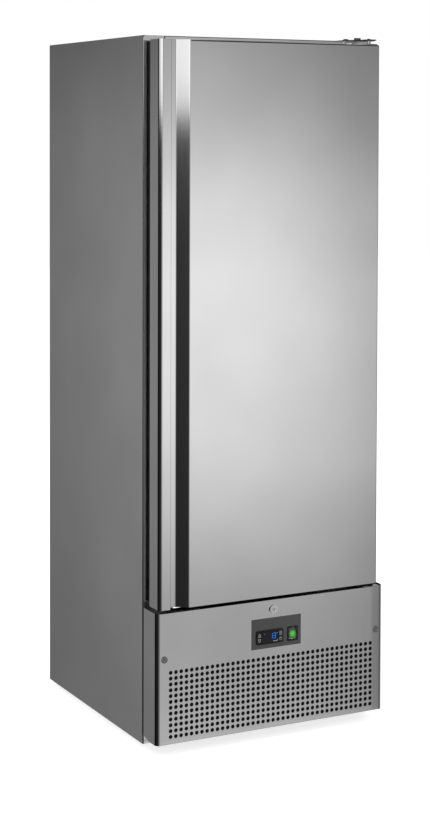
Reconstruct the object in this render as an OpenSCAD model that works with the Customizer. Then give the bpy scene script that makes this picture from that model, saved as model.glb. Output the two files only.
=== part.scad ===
/* [Cabinet] */
// Width over the two side panels
cabinet_w = 684; // [640:1:760]
// Depth from the front flanges to the back sheet
cabinet_d = 621; // [580:1:700]
// Height from the lower edge of the sides to the top sheet
cabinet_h = 1821; // [1740:1:1960]
// Height of the sides' lower edge above the floor
leg_h = 15; // [13:0.5:20]
// Thickness of the outer steel sheets
sheet_t = 1; // [0.8:0.1:1.5]
// Insulated wall, with its sheets, and width of the front flanges
wall_t = 58; // [50:1:66]
// Thickness of the plastic inner liner
liner_t = 2; // [1.5:0.25:3]
// How far the front cover reaches above the underside of the insulated box
box_lap = 7; // [5:0.5:9]
// Running clearance between parts that slip into each other
fit_gap = 0.2; // [0.1:0.05:0.3]
// Radial clearance of every pin and shaft in its bore
pin_gap = 0.05; // [0.02:0.01:0.1]

/* [Door] */
// Setback of the door's right edge from the cabinet side
door_edge = 22.8; // [18:0.2:30]
// Thickness of the door from its front face to its rear skin
door_t = 56; // [50:1:64]
// Gap between the door's rear skin and the cabinet flanges, filled by the seal
seal_gap = 21; // [17:0.5:24]
// Setback of the door's left edge from the cabinet side
door_inset = 8.8; // [7:0.2:14]
// Gap between the door's lower edge and the front cover
door_gap = 8; // [7.5:0.25:11]
// Setback of the door's top edge below the cabinet top
door_drop = 12; // [10:0.5:18]
// Bend radius of the door's left upright edge
door_r = 11.5; // [6:0.5:14]
// Bend radius of the door's right upright edge, beside the hinges
door_r_hinge = 4.5; // [3:0.5:10]
// Width of the gripping lip left of the handle recess
lip_w = 32.8; // [26:0.2:36]
// Depth of the handle recess
grip_depth = 20; // [16:0.5:28]
// Rise of the recess wall beside the lip
grip_near = 2; // [1:0.2:12]
// Width of the flat floor of the recess
grip_floor = 20; // [16:0.1:30]
// Width of the slanted wall on the far side of the recess
grip_far = 30.3; // [18:0.1:34]

/* [Hinges] */
// Distance of the hinge axis from the door's right edge
hinge_edge = 13.2; // [12:0.2:18]
// Distance of the hinge axis behind the door's front face
hinge_back = 34; // [30:0.5:38]
// Radius of the hinge pins
pin_r = 4; // [3.5:0.25:5]
// Wall of the plastic bushes round the pins
bush_wall = 4; // [3:0.5:5]
// Length that each pin stands in its bush
pin_len = 18; // [14:1:24]
// Thickness of the hinge plates
hinge_t = 2.5; // [2.5:0.25:4]
// Height of the hinge bolt heads
bolt_head = 7.5; // [5:0.5:9]

/* [Seal] */
// Width of the seal's magnetic head
seal_w = 16; // [12:0.5:17]
// Distance of the seal's outer edge inside the hinge axis
seal_back_off = 2; // [2:0.5:4]
// Slack that keeps the seal off the flanges
seal_clear = 0.3; // [0.2:0.05:0.5]

/* [Front cover] */
// Setback of the perforated front cover's ends from the cabinet sides
cover_edge = 2; // [1:0.5:4]
// Height of the front cover
cover_h = 338; // [332:1:350]
// Height of the cover's lower edge above the sides' lower edge
cover_lift = 16; // [12:0.5:20]
// Bend radius of the cover's upright edges
cover_r = 10; // [6:0.5:14]
// Depth of the cover's two screws below its top edge
screw_drop = 118.3; // [100:0.1:124]
// Depth of the folds along the cover's top and bottom edges
cover_fold = 16; // [10:0.5:17]
// Distance between neighbouring holes of the perforation
hole_pitch = 15; // [14:0.5:16]
// Diameter of the perforation's holes
hole_d = 10.5; // [7:0.25:11.5]
// Least distance of the outer holes' centres from the cover's ends
hole_side = 40; // [30:1:60]
// Height of the lowest row above the cover's lower edge
hole_base = 19.5; // [16:0.5:24]

/* [Controls] */
// Width of the plate behind the controller and the switch
plate_w = 148; // [140:1:160]
// Height of the plate
plate_h = 79; // [72:1:84]
// Setting of the plate to the right of the cover's centre
plate_shift = 8.5; // [0:0.5:16]
// Depth of the plate's centre below the cover's top edge
plate_drop = 87; // [82:0.5:92]
// Width of the controller's bezel
bezel_w = 81; // [74:0.5:84]
// Height of the controller's bezel
bezel_h = 36; // [32:0.5:38]
// How far the bezel stands proud of the cover
bezel_proud = 4; // [3:0.25:6]
// Width of a controller key
key_w = 10; // [7:0.25:10.5]
// Height of a controller key
key_h = 12.5; // [10:0.25:14]
// Travel of a controller key
key_travel = 0.5; // [0.3:0.1:0.8]
// Width of the switch housing
switch_w = 31.6; // [28:0.2:34]
// Height of the switch housing
switch_h = 38.3; // [34:0.1:40]
// How far the switch housing stands proud of the cover
switch_proud = 2.5; // [2:0.25:4]
// Width of the rocker
rocker_w = 21; // [18:0.25:24]
// Height of the rocker
rocker_h = 25; // [22:0.25:28]
// Tilt of the rocker each way from level
rocker_tilt = 8; // [5:0.5:10]
// How far the clear cap over the rocker stands proud of the cover
cap_proud = 7; // [6.5:0.25:9]

/* [Lock] */
// Radius of the lock's round face
lock_r = 11; // [9:0.25:13]
// How far the lock's face stands proud of the cover
lock_proud = 3.5; // [2:0.25:5]
// Distance of the lock's axis below the cover's top edge
lock_drop = 26; // [22:0.5:30]
// Radius of the lock's turning plug
plug_r = 6; // [5:0.25:7]
// Length of the cam from the lock's axis to its tip
cam_len = 48; // [44:0.5:54]
// Width of the cam
cam_w = 14; // [10:0.5:16]
// Thickness of the cam
cam_t = 3; // [2:0.25:4]

/* [Inside] */
// Number of wire shelves
shelves = 4; // [4:1:4]
// Height of the lowest shelf above the liner's floor
shelf_base = 45; // [40:1:60]
// Distance between shelves
shelf_pitch = 300; // [260:5:310]
// Depth of a wire shelf
shelf_d = 480; // [420:5:490]
// Radius of a shelf's rim wire
rim_r = 4; // [3:0.25:5]
// Radius of a shelf's long wires
wire_r = 2; // [1.5:0.25:3]
// Height of the evaporator housing under the ceiling
evaporator_h = 118; // [110:1:130]
// Radius of the evaporator fan's blades
evaporator_fan_r = 84; // [70:1:90]

/* [Machine compartment] */
// Width of the condenser's finned block
condenser_w = 320; // [280:2:340]
// Height of the condenser's finned block
condenser_h = 250; // [220:2:260]
// Depth of the condenser's finned block
condenser_d = 60; // [50:1:66]
// Radius of the condenser fan's blades
condenser_fan_r = 98; // [80:1:104]
// Radius of the compressor's shell
compressor_r = 72; // [60:1:78]
// Height of the compressor's shell
compressor_h = 186; // [160:1:200]

/* [Feet] */
// Radius of a foot's pad
foot_r = 26; // [20:0.5:30]
// Thickness of a foot's pad
foot_pad = 10; // [8:0.5:11]
// Radius of a foot's threaded stud
stud_r = 6; // [5:0.25:7]
// Inset of the feet from the cabinet's sides, front and back
foot_inset = 75; // [70:1:85]

/* [Hidden] */
$fn = 48;

steel = "silver";
dull_steel = "darkgray";
zinc = "lightgray";
copper = "chocolate";
black = "dimgray";
white = "whitesmoke";

// Planes of the cabinet. X is centred, the floor is Z = 0, and the front looks along -Y.
rear_proud = 2.5;
total_d = cap_proud + door_t + seal_gap + cabinet_d + rear_proud;
y_front = cap_proud - total_d / 2;
y_cab = y_front + door_t + seal_gap;
y_back = y_cab + cabinet_d;
x_side = cabinet_w / 2;
x_in = x_side - sheet_t;
z_low = leg_h;
z_top = z_low + cabinet_h;
cover_low = z_low + cover_lift;
cover_top = cover_low + cover_h;
z_box = cover_top - box_lap;
base_t = 2;
z_base = z_low + base_t;

// Storage space inside the liner
cav_x = x_side - wall_t;
cav_y = y_back - wall_t;
cav_low = z_box + wall_t;
cav_top = z_top - wall_t;

// Door box
door_w = cabinet_w - door_inset - door_edge;
door_x = -x_side + door_inset;
door_right = door_x + door_w;
door_low = cover_top + door_gap;
door_top = z_top - door_drop;
y_rear = y_front + door_t;
skin_t = sheet_t;
cap_t = 2;

// Hinge axis
axis_x = door_right - hinge_edge;
axis_y = y_front + hinge_back;
bush_r = pin_r + bush_wall;
bush_len = pin_len + 4;
flange_t = 2.2;
hinge_half = 26;
leaf_h = door_drop - 3;
plate_reach = 71;
bolt_reach = 32;

// Seal ring, centred on the flanges round the opening
seal_out = [door_x + 9.6, axis_x - seal_back_off];
seal_in = [seal_out[0] + seal_w, seal_out[1] - seal_w];
seal_low = [door_low + 4, door_low + 4 + seal_w];
seal_top = [door_top - 3, door_top - 3 - seal_w];
pan_gap = 5;
pan_rise = 14;

// Controls on the front cover
plate_z = cover_top - plate_drop;
plate_t = 1;
bezel_x = plate_shift - 21;
bezel_z = plate_z - 9.5;
switch_x = plate_shift + 48;
switch_z = plate_z - 9.2;
body_inset = 4;
controller_depth = 58;
key_x = bezel_w / 2 - key_w / 2 - 4;
key_z = key_h / 2 + 1;
key_proud = 0.8;
window_w = bezel_w - 2 * key_w - 12;
window_h = bezel_h - 6;
window_t = 1.6;
switch_depth = 24;
switch_rim = 4;
rocker_face = 3.2;
rocker_depth = 12;
cap_wall = 0.8;
cover_w = cabinet_w - 2 * cover_edge;
screw_x = cover_w / 2 - 22;
screw_z = cover_top - screw_drop;
hole_columns = floor((cover_w - 2 * hole_side) / hole_pitch) + 1;
rows_room = cover_h - plate_drop - plate_h / 2 - hole_base - hole_d / 2 - 7;
hole_rows = floor(rows_room / hole_pitch) + 1;
screw_r = 8.8;
screw_t = 1.6;
cover_cut = 30;
filter_t = 6;
bracket_t = 1.5;
bracket_end = cover_w / 2 - cover_r;

// Lock
lock_x = plate_shift - 8.5;
lock_z = cover_top - lock_drop;
barrel_len = 18;
cam_y = y_front + sheet_t + barrel_len + 0.3;
slot_reach = cam_len * cos(35) + cam_w / 2 + 2;
slot_top = lock_z + cam_len + cam_w / 4 + 3;

// Evaporator
evaporator_z = cav_top - evaporator_h;
evaporator_x = cav_x - 44;
evaporator_y = y_cab + 120;
evaporator_t = 2;
evaporator_fan_y = evaporator_y + evaporator_fan_r + 24;
evaporator_fan_gap = 5;
coil_y = evaporator_fan_y + evaporator_fan_r + 16;
coil_side = 34;
drain_x = 180;
drain_y = y_back - wall_t / 2;
drain_r = 7;
drain_gap = 0.6;
drain_z = evaporator_z + evaporator_t + drain_r + drain_gap;

// Shelves
rail_d = 10;
rail_w = 26;
rail_low = cav_low + 20;
rail_top = evaporator_z - 40;
rail_y = [y_cab + 62, cav_y - 62];
slot_pitch = 60;
clip_reach = 14;
clip_t = 3;
shelf_x = cav_x - rail_d - 2;
shelf_mid = (rail_y[0] + rail_y[1]) / 2;
function shelf_z(i) = cav_low + shelf_base + i * shelf_pitch;

// Machine compartment
condenser_x = 90;
condenser_y = y_cab + 12;
condenser_low = z_base + 28;
tube_r = 4.75;
motor_r = 34;
motor_len = 62;
drier_len = 80;
shroud_y = condenser_y + condenser_d;
shroud_d = 30;
fan_z = condenser_low + condenser_h / 2;
fan_gap = 5;
fan_y = shroud_y + shroud_d - 10;
motor_y = fan_y + 16;
compressor_x = -190;
compressor_y = y_back - 165;
compressor_low = z_base + 18.5;
mount_z = z_base + 14.5;
mount_t = 3;
mount_x = compressor_r + 24;
mount_y = 52;
grommet_r = 12;
grommet_hole = 8.5;
weld_stud_r = 4;
tray_h = 45;
tray_w = 180;
tray_d = 175;
tray_x = x_side - 282;
tray_t = 1.5;
pipe_r = 4;
foot_x = x_side - foot_inset;
foot_y = [y_cab + foot_inset, y_back - foot_inset];
nut_h = 10;
foot_gap = 0.3;
stud_top = z_base + nut_h + 34;

module block(low, high) {
    translate(low) cube([high[0] - low[0], high[1] - low[1], high[2] - low[2]]);
}

// Block on the right side, or its mirror image on the left
module block_pair(side, low, high) {
    if (side > 0) {
        block(low, high);
    } else {
        mirror([1, 0, 0]) block(low, high);
    }
}

// Rod along +Y from the point given
module rod_y(at, r, len) {
    translate(at) rotate([-90, 0, 0]) cylinder(r = r, h = len);
}

// Rod along +X from the point given
module rod_x(at, r, len) {
    translate(at) rotate([0, 90, 0]) cylinder(r = r, h = len);
}

// Flat plate of a given outline in X and Z, from y to y + t
module upright(y, t) {
    translate([0, y + t, 0]) rotate([90, 0, 0]) linear_extrude(t) children();
}

// Rectangular ring in X and Z
module ring(out_x, out_z, in_x, in_z, y, t) {
    difference() {
        block([out_x[0], y, out_z[0]], [out_x[1], y + t, out_z[1]]);
        block([in_x[0], y - 1, in_z[0]], [in_x[1], y + t + 1, in_z[1]]);
    }
}

module rounded_square(size, r) {
    square([size[0] - 2 * r, size[1]], center = true);
    square([size[0], size[1] - 2 * r], center = true);
    for (sx = [-1, 1]) {
        for (sy = [-1, 1]) {
            translate([sx * (size[0] / 2 - r), sy * (size[1] / 2 - r)]) circle(r = r);
        }
    }
}

// Side sheet with its front flange folded in. side is -1 on the left and 1 on the right.
module side_panel(side) {
    color(steel) {
        difference() {
            translate([0, 0, z_low]) linear_extrude(cabinet_h) {
                polygon([
                    [side * x_side, y_cab], [side * x_side, y_back], [side * x_in, y_back],
                    [side * x_in, y_cab + sheet_t], [side * cav_x, y_cab + sheet_t], [side * cav_x, y_cab]
                ]);
            }
            // Lower fixing hole of the flange, beside the cover's cut corner
            rod_y([side * (x_side - 8), y_cab - 1, z_low + 9], 2.5, sheet_t + 2);
        }
    }
}

module top_panel() {
    color(steel) block([-x_in, y_cab + sheet_t, z_top - sheet_t], [x_in, y_back, z_top]);
}

// One sheet that closes the back and folds forward under the insulated box
module back_panel() {
    color(dull_steel) {
        difference() {
            union() {
                block([-x_in, y_back - sheet_t, z_box], [x_in, y_back, z_top - sheet_t]);
                block([-x_in, y_cab + sheet_t, z_box], [x_in, y_back, z_box + sheet_t]);
            }
            translate([drain_x, drain_y, z_box - 1]) cylinder(r = drain_r + fit_gap, h = sheet_t + 2);
        }
    }
}

// Floor of the machine compartment with its welded foot nuts and compressor studs
module base_plate() {
    color(dull_steel) {
        difference() {
            union() {
                block([-x_in, y_cab + sheet_t, z_low], [x_in, y_back, z_base]);
                block([-x_in, y_cab + sheet_t, z_low], [x_in, y_cab + 2 * sheet_t, z_low + 26]);
                for (sx = [-1, 1]) {
                    for (y = foot_y) {
                        translate([sx * foot_x, y, z_low])
                            cylinder(r = stud_r + 6, h = base_t + nut_h, $fn = 6);
                    }
                }
            }
            for (sx = [-1, 1]) {
                for (y = foot_y) {
                    translate([sx * foot_x, y, z_low - 1])
                        cylinder(r = stud_r + pin_gap, h = base_t + nut_h + 2);
                }
            }
            for (i = [0:7]) {
                block([-40 + 30 * i, y_cab + 60, z_low - 1], [-28 + 30 * i, y_cab + 120, z_base + 1]);
            }
        }
        for (sx = [-1, 1]) {
            for (sy = [-1, 1]) {
                translate([compressor_x + sx * mount_x, compressor_y + sy * mount_y, z_base - 1]) {
                    cylinder(r = weld_stud_r, h = 24);
                }
            }
        }
    }
}

module top_rail() {
    color(steel) {
        block([-cav_x, y_cab, cav_top], [cav_x, y_cab + sheet_t, z_top]);
    }
}

module bottom_rail() {
    color(steel) {
        block([-cav_x, y_cab, z_box], [cav_x, y_cab + sheet_t, cav_low]);
    }
}

module cabinet_foam() {
    color("khaki") {
        difference() {
            block([-x_in, y_cab + sheet_t, z_box + sheet_t], [x_in, y_back - sheet_t, z_top - sheet_t]);
            block([-cav_x - liner_t, y_cab, cav_low - liner_t],
                [cav_x + liner_t, cav_y + liner_t, cav_top + liner_t]);
            translate([drain_x, drain_y, z_box])
                cylinder(r = drain_r + drain_gap, h = drain_z + drain_r + drain_gap - z_box);
            rod_y([drain_x, cav_y, drain_z], drain_r + drain_gap, wall_t / 2 + 2);
        }
    }
}

module inner_liner() {
    color(white) {
        difference() {
            block([-cav_x - liner_t, y_cab + sheet_t, cav_low - liner_t],
                [cav_x + liner_t, cav_y + liner_t, cav_top + liner_t]);
            block([-cav_x, y_cab, cav_low], [cav_x, cav_y, cav_top]);
            rod_y([drain_x, cav_y - 1, drain_z], drain_r + fit_gap, liner_t + 2);
        }
    }
}

// Louvred sheet behind the machine compartment
module rear_grille() {
    color(dull_steel) {
        difference() {
            block([-x_in, y_back - sheet_t, z_base], [x_in, y_back, z_box]);
            for (column = [0:3]) {
                for (row = [0:9]) {
                    x = -x_in + 40 + column * 118;
                    z = z_base + 60 + row * 24;
                    block([x, y_back - sheet_t - 1, z], [x + 96, y_back + 1, z + 8]);
                }
            }
            block([x_in - 96, y_back - sheet_t - 1, z_base + 60], [x_in - 66, y_back + 1, z_base + 84]);
        }
    }
}

// Appliance inlet clipped into the grille
module power_inlet() {
    x = x_in - 81;
    z = z_base + 72;
    color(black) {
        difference() {
            union() {
                block([x - 20, y_back, z - 17], [x + 20, y_back + rear_proud, z + 17]);
                block([x - 15 + fit_gap, y_back - 22, z - 12 + fit_gap],
                    [x + 15 - fit_gap, y_back + 1, z + 12 - fit_gap]);
            }
            block([x - 12, y_back - 16, z - 8], [x + 12, y_back + rear_proud + 1, z + 8]);
        }
        for (pin = [-7, 0, 7]) {
            block([x + pin - 1, y_back - 20, z - 3], [x + pin + 1, y_back - 4, z + 3]);
        }
    }
}

// Return bend of a tube: half a ring standing at y, opening towards the fins
module return_bend(at, side) {
    translate(at) rotate([90, 0, 0]) rotate([0, 0, side > 0 ? -90 : 90]) {
        rotate_extrude(angle = 180) translate([20, 0]) circle(r = tube_r);
    }
}

// Finned block with tube bends at both ends, and two side plates that it stands or hangs by
module finned_coil(x0, x1, y0, y1, z0, z1, stand_low, stand_high, fins) {
    pitch = (x1 - x0) / fins;
    difference() {
        block([x0, y0, z0], [x1, y1, z1]);
        for (i = [0:fins - 1]) {
            block([x0 + (i + 0.3) * pitch, y0 - 1, z0 - 1],
                [x0 + (i + 1) * pitch - 0.8, y0 + (y1 - y0) * 0.42, z1 + 1]);
            block([x0 + (i + 0.3) * pitch, y1 - (y1 - y0) * 0.42, z0 - 1],
                [x0 + (i + 1) * pitch - 0.8, y1 + 1, z1 + 1]);
        }
    }
    for (side = [-1, 1]) {
        x = side < 0 ? x0 - 2 : x1 - 0.5;
        block([x, y0, stand_low], [x + 2.5, y1, stand_high]);
    }
}

module condenser_coil() {
    x0 = condenser_x - condenser_w / 2;
    x1 = condenser_x + condenser_w / 2;
    bends = floor((condenser_h - 30) / 40);
    color(dull_steel) {
        finned_coil(x0, x1, condenser_y, condenser_y + condenser_d, condenser_low,
            condenser_low + condenser_h,
            z_base, condenser_low + condenser_h, 32);
        for (y = [condenser_y + condenser_d * 0.25, condenser_y + condenser_d * 0.75]) {
            for (i = [0:bends - 1]) {
                return_bend([x1 + 1.5, y, condenser_low + 35 + 40 * i], 1);
                return_bend([x0 - 1.5, y, condenser_low + 35 + 40 * i], -1);
            }
        }
    }
}

// Sheet box between the condenser and its fan, with a round collar
module fan_shroud() {
    x0 = condenser_x - condenser_w / 2;
    x1 = condenser_x + condenser_w / 2;
    z1 = condenser_low + condenser_h;
    y_plate = shroud_y + shroud_d - sheet_t;
    color(dull_steel) {
        difference() {
            union() {
                difference() {
                    block([x0, shroud_y, z_base], [x1, shroud_y + shroud_d, z1]);
                    block([x0 + sheet_t, shroud_y - 1, z_base + sheet_t],
                        [x1 - sheet_t, y_plate, z1 - sheet_t]);
                }
                rod_y([condenser_x, y_plate - 18, fan_z], condenser_fan_r + fan_gap + 1.5, 18.5);
            }
            rod_y([condenser_x, shroud_y - 1, fan_z], condenser_fan_r + fan_gap, shroud_d + 2);
        }
        // Arms that carry the motor
        for (angle = [0, 90, 180, 270]) {
            translate([condenser_x, shroud_y + shroud_d - 0.5, fan_z]) rotate([0, angle, 0]) {
                translate([24, 0, -5]) cube([condenser_fan_r + fan_gap - 12, 2.5, 10]);
            }
        }
        difference() {
            rod_y([condenser_x, shroud_y + shroud_d - 0.5, fan_z], 30, 2.5);
            rod_y([condenser_x, shroud_y + shroud_d - 1, fan_z], 14, 4);
        }
    }
}

// Shaded-pole motor with a bored nose for the fan shaft
module fan_motor(r, len, nose) {
    difference() {
        union() {
            cylinder(r = r, h = len);
            translate([0, 0, -nose]) cylinder(r = 10, h = nose + 1);
            for (angle = [0:45:315]) {
                rotate(angle) translate([r - 4, -2, 6]) cube([6, 4, len - 12]);
            }
        }
        translate([0, 0, -nose - 1]) cylinder(r = 3 + pin_gap, h = 22 + nose);
    }
}

module condenser_fan_motor() {
    color(black) {
        translate([condenser_x, shroud_y + shroud_d + 2, fan_z]) rotate([-90, 0, 0]) fan_motor(motor_r, motor_len, 6);
    }
}

// Hub, shaft and five pitched blades, turning about the local Z axis
module fan(r, hub_r, hub_h, shaft_len) {
    cylinder(r = hub_r, h = hub_h);
    translate([0, 0, hub_h - 1]) cylinder(r = 3, h = shaft_len + 1);
    intersection() {
        cylinder(r = r, h = hub_h);
        union() {
            for (angle = [0:72:288]) {
                rotate(angle) translate([hub_r - 3, 0, hub_h / 2]) rotate([24, 0, 0]) {
                    translate([0, -r * 0.3, -0.8]) cube([r, r * 0.6, 1.6]);
                }
            }
        }
    }
}

module condenser_fan() {
    hub_h = 16;
    color(black) {
        translate([condenser_x, shroud_y + shroud_d - 6 - hub_h, fan_z]) rotate([-90, 0, 0]) {
            fan(condenser_fan_r, 20, hub_h, 22);
        }
    }
}

// Welded steel pot on its mounting plate
module compressor() {
    dome = 34;
    color(black) {
        translate([compressor_x, compressor_y, 0]) {
            translate([0, 0, compressor_low]) rotate_extrude($fn = 64) {
                difference() {
                    union() {
                        translate([0, dome]) square([compressor_r, compressor_h - 2 * dome]);
                        square([compressor_r - dome, compressor_h]);
                        translate([compressor_r - dome, dome]) circle(r = dome);
                        translate([compressor_r - dome, compressor_h - dome]) circle(r = dome);
                        translate([0, compressor_h * 0.55]) square([compressor_r + 4, 5]);
                    }
                    translate([-compressor_r, -1]) square([compressor_r, compressor_h + 2]);
                }
            }
            difference() {
                union() {
                    block([-mount_x - 16, -mount_y - 16, mount_z],
                        [mount_x + 16, -mount_y + 16, mount_z + mount_t]);
                    block([-mount_x - 16, mount_y - 16, mount_z],
                        [mount_x + 16, mount_y + 16, mount_z + mount_t]);
                    block([-30, -mount_y, mount_z], [30, mount_y, mount_z + mount_t]);
                    translate([0, 0, mount_z]) cylinder(r = 34, h = compressor_low + 1 - mount_z);
                }
                for (sx = [-1, 1]) {
                    for (sy = [-1, 1]) {
                        translate([sx * mount_x, sy * mount_y, mount_z - 1]) {
                            cylinder(r = grommet_hole + fit_gap, h = mount_t + 2);
                        }
                    }
                }
            }
        }
    }
}

module compressor_grommets() {
    color(black) {
        for (sx = [-1, 1]) {
            for (sy = [-1, 1]) {
                translate([compressor_x + sx * mount_x, compressor_y + sy * mount_y, 0]) {
                    difference() {
                        union() {
                            translate([0, 0, z_base]) cylinder(r = grommet_r, h = mount_z - z_base);
                            translate([0, 0, z_base])
                                cylinder(r = grommet_hole, h = mount_z + mount_t + 3 - z_base);
                            translate([0, 0, mount_z + mount_t]) cylinder(r = grommet_r - 1, h = 3);
                        }
                        translate([0, 0, z_base - 1]) cylinder(r = weld_stud_r + pin_gap, h = 30);
                    }
                }
            }
        }
    }
}

module terminal_box() {
    x0 = compressor_x + compressor_r - 20;
    z0 = compressor_low + 45;
    color(black) {
        difference() {
            block([x0, compressor_y - 32, z0], [x0 + 52, compressor_y + 32, z0 + 52]);
            translate([compressor_x, compressor_y, z0 - 1]) cylinder(r = compressor_r + fit_gap, h = 60);
        }
    }
}

// Straight tube between two points with round ends, for a bent copper line
module pipe_run(points, r) {
    for (i = [0:len(points) - 2]) {
        a = points[i];
        b = points[i + 1];
        d = b - a;
        length = norm(d);
        tilt = acos(d[2] / length);
        turn = atan2(d[1], d[0]);
        translate(a) rotate([0, tilt, turn]) cylinder(r = r, h = length);
        if (i < len(points) - 2) {
            translate(b) sphere(r = r + 0.4);
        }
    }
}

// Discharge line, liquid line with its filter drier, and suction line
module refrigerant_pipes() {
    top = compressor_low + compressor_h;
    drier_x = compressor_x + 20;
    drier_end = condenser_y + 130 + drier_len + 30;
    color(copper) {
        pipe_run([
            [compressor_x - 26, compressor_y - 20, top], [compressor_x - 26, compressor_y - 20, top + 30],
            [compressor_x - 26, condenser_y + 40, top + 30],
                [condenser_x - condenser_w / 2 - 40, condenser_y + 15, top + 30],
            [condenser_x - condenser_w / 2 - 40, condenser_y + 15, condenser_low + condenser_h - 20],
            [condenser_x - condenser_w / 2 - 2, condenser_y + 15, condenser_low + condenser_h - 20]
        ], pipe_r);
        pipe_run([
            [condenser_x - condenser_w / 2 - 2, condenser_y + 30, condenser_low + 14],
            [drier_x, condenser_y + 30, condenser_low + 14],
                [drier_x, condenser_y + 110, condenser_low + 60],
            [drier_x, drier_end, condenser_low + 60], [drier_x, drier_end, z_box]
        ], pipe_r * 0.6);
        pipe_run([
            [compressor_x + 24, compressor_y + 24, top], [compressor_x + 24, compressor_y + 24, z_box]
        ], pipe_r * 1.2);
        rod_y([drier_x, condenser_y + 130, condenser_low + 60], 11, drier_len);
    }
}

// Open pan that evaporates the melt water
module drip_tray() {
    y1 = y_back - sheet_t - 8;
    color(black) {
        difference() {
            block([tray_x, y1 - tray_d, z_base], [tray_x + tray_w, y1, z_base + tray_h]);
            block([tray_x + tray_t, y1 - tray_d + tray_t, z_base + tray_t],
                [tray_x + tray_w - tray_t, y1 - tray_t, z_base + tray_h + 1]);
        }
    }
}

// Housing on the ceiling of the storage space, with a fan opening below and slots in front
module evaporator_cover() {
    color(white) {
        difference() {
            block([-evaporator_x, evaporator_y, evaporator_z], [evaporator_x, cav_y, cav_top]);
            block([-evaporator_x + evaporator_t, evaporator_y + evaporator_t,
                evaporator_z + evaporator_t],
                [evaporator_x - evaporator_t, cav_y + 1, cav_top + 1]);
            translate([0, evaporator_fan_y, evaporator_z - 1]) {
                cylinder(r = evaporator_fan_r + evaporator_fan_gap, h = evaporator_t + 2);
            }
            for (i = [0:9]) {
                x = -evaporator_x + 22 + i * (2 * evaporator_x - 44) / 10;
                for (row = [0:3]) {
                    z = evaporator_z + 24 + row * 20;
                    block([x + 3, evaporator_y - 1, z],
                        [x + (2 * evaporator_x - 44) / 10 - 3, evaporator_y + evaporator_t + 1, z + 8]);
                }
            }
        }
    }
}

module evaporator_coil() {
    x1 = evaporator_x - coil_side;
    color(dull_steel) {
        finned_coil(-x1, x1, coil_y, cav_y - 26, evaporator_z + 24, cav_top - 14,
            evaporator_z + 24, cav_top, 36);
        for (y = [coil_y + 22, (coil_y + cav_y - 26) / 2, cav_y - 48]) {
            return_bend([x1 + 1.5, y, evaporator_z + 64], 1);
            return_bend([-x1 - 1.5, y, evaporator_z + 64], -1);
        }
    }
}

module evaporator_fan_motor() {
    z0 = evaporator_z + 46;
    color(black) {
        translate([0, evaporator_fan_y, z0]) fan_motor(32, 44, 8);
        translate([-8, evaporator_fan_y - 60, cav_top - 3]) cube([16, 120, 3]);
        translate([0, evaporator_fan_y, z0 + 40]) cylinder(r = 8, h = cav_top - z0 - 40);
    }
}

module evaporator_fan() {
    hub_h = 24;
    color(white) {
        translate([0, evaporator_fan_y, evaporator_z + 8]) fan(evaporator_fan_r, 18, hub_h, 20);
    }
}

// Tube from the evaporator housing through the back wall down to the drip tray
module drain_tube() {
    z1 = drain_z;
    color(black) {
        difference() {
            union() {
                translate([drain_x, drain_y, z_base + 30]) cylinder(r = drain_r, h = z1 - z_base - 30);
                translate([drain_x, drain_y, z1]) sphere(r = drain_r);
                rod_y([drain_x, cav_y - 12, z1], drain_r, drain_y - cav_y + 12);
            }
            translate([drain_x, drain_y, z_base + 29]) cylinder(r = drain_r - 2, h = z1 - z_base - 29);
            rod_y([drain_x, cav_y - 13, z1], drain_r - 2, drain_y - cav_y + 13);
        }
    }
}

// Slotted upright channel, open side against the liner
module shelf_rail() {
    height = rail_top - rail_low;
    count = floor((height - 30) / slot_pitch);
    difference() {
        block([0, -rail_w / 2, rail_low], [rail_d, rail_w / 2, rail_top]);
        block([1.2, -rail_w / 2 + 1.2, rail_low - 1], [rail_d + 1, rail_w / 2 - 1.2, rail_top + 1]);
        for (i = [0:count]) {
            z = rail_low + 25 - clip_t - rim_r + i * slot_pitch;
            block([-1, -8, z - 6], [2, 8, z]);
        }
    }
}

module shelf_rails() {
    color(steel) {
        for (y = rail_y) {
            translate([cav_x - rail_d, y, 0]) shelf_rail();
            translate([-cav_x + rail_d, y, 0]) mirror([1, 0, 0]) shelf_rail();
        }
    }
}

// Hook that fills a rail slot and reaches under the shelf's rim
module shelf_clip() {
    block([-clip_reach, -7.8, -clip_t], [0, 7.8, 0]);
    block([-2, -7.8, -clip_t - 5.8], [0, 7.8, 0]);
    block([-1, -7.8, -clip_t - 2.8], [5, 7.8, -clip_t]);
}

module shelf_clips() {
    color(steel) {
        for (i = [0:shelves - 1]) {
            for (y = rail_y) {
                z = shelf_z(i) - rim_r;
                translate([cav_x - rail_d, y, z]) shelf_clip();
                translate([-cav_x + rail_d, y, z]) mirror([1, 0, 0]) shelf_clip();
            }
        }
    }
}

// Welded wire shelf: a rim of thick wire, three stays and thin long wires on top
module wire_shelf(i) {
    x = shelf_x - rim_r;
    y0 = shelf_mid - shelf_d / 2 + rim_r;
    y1 = shelf_mid + shelf_d / 2 - rim_r;
    wires = 21;
    color(white) {
        translate([0, 0, shelf_z(i)]) {
            for (y = [y0, y1]) {
                rod_x([-x, y, 0], rim_r, 2 * x);
            }
            for (sx = [-1, 1]) {
                rod_y([sx * x, y0, 0], rim_r, y1 - y0);
                for (y = [y0, y1]) {
                    translate([sx * x, y, 0]) sphere(r = rim_r);
                }
            }
            for (y = [y0 + shelf_d / 3, y1 - shelf_d / 3]) {
                rod_x([-x, y, 0], rim_r * 0.8, 2 * x);
            }
            for (k = [1:wires]) {
                wx = -x + k * 2 * x / (wires + 1);
                rod_y([wx, y0 - rim_r / 2, rim_r + wire_r * 0.4], wire_r, y1 - y0 + rim_r, $fn = 16);
            }
        }
    }
}

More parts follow.
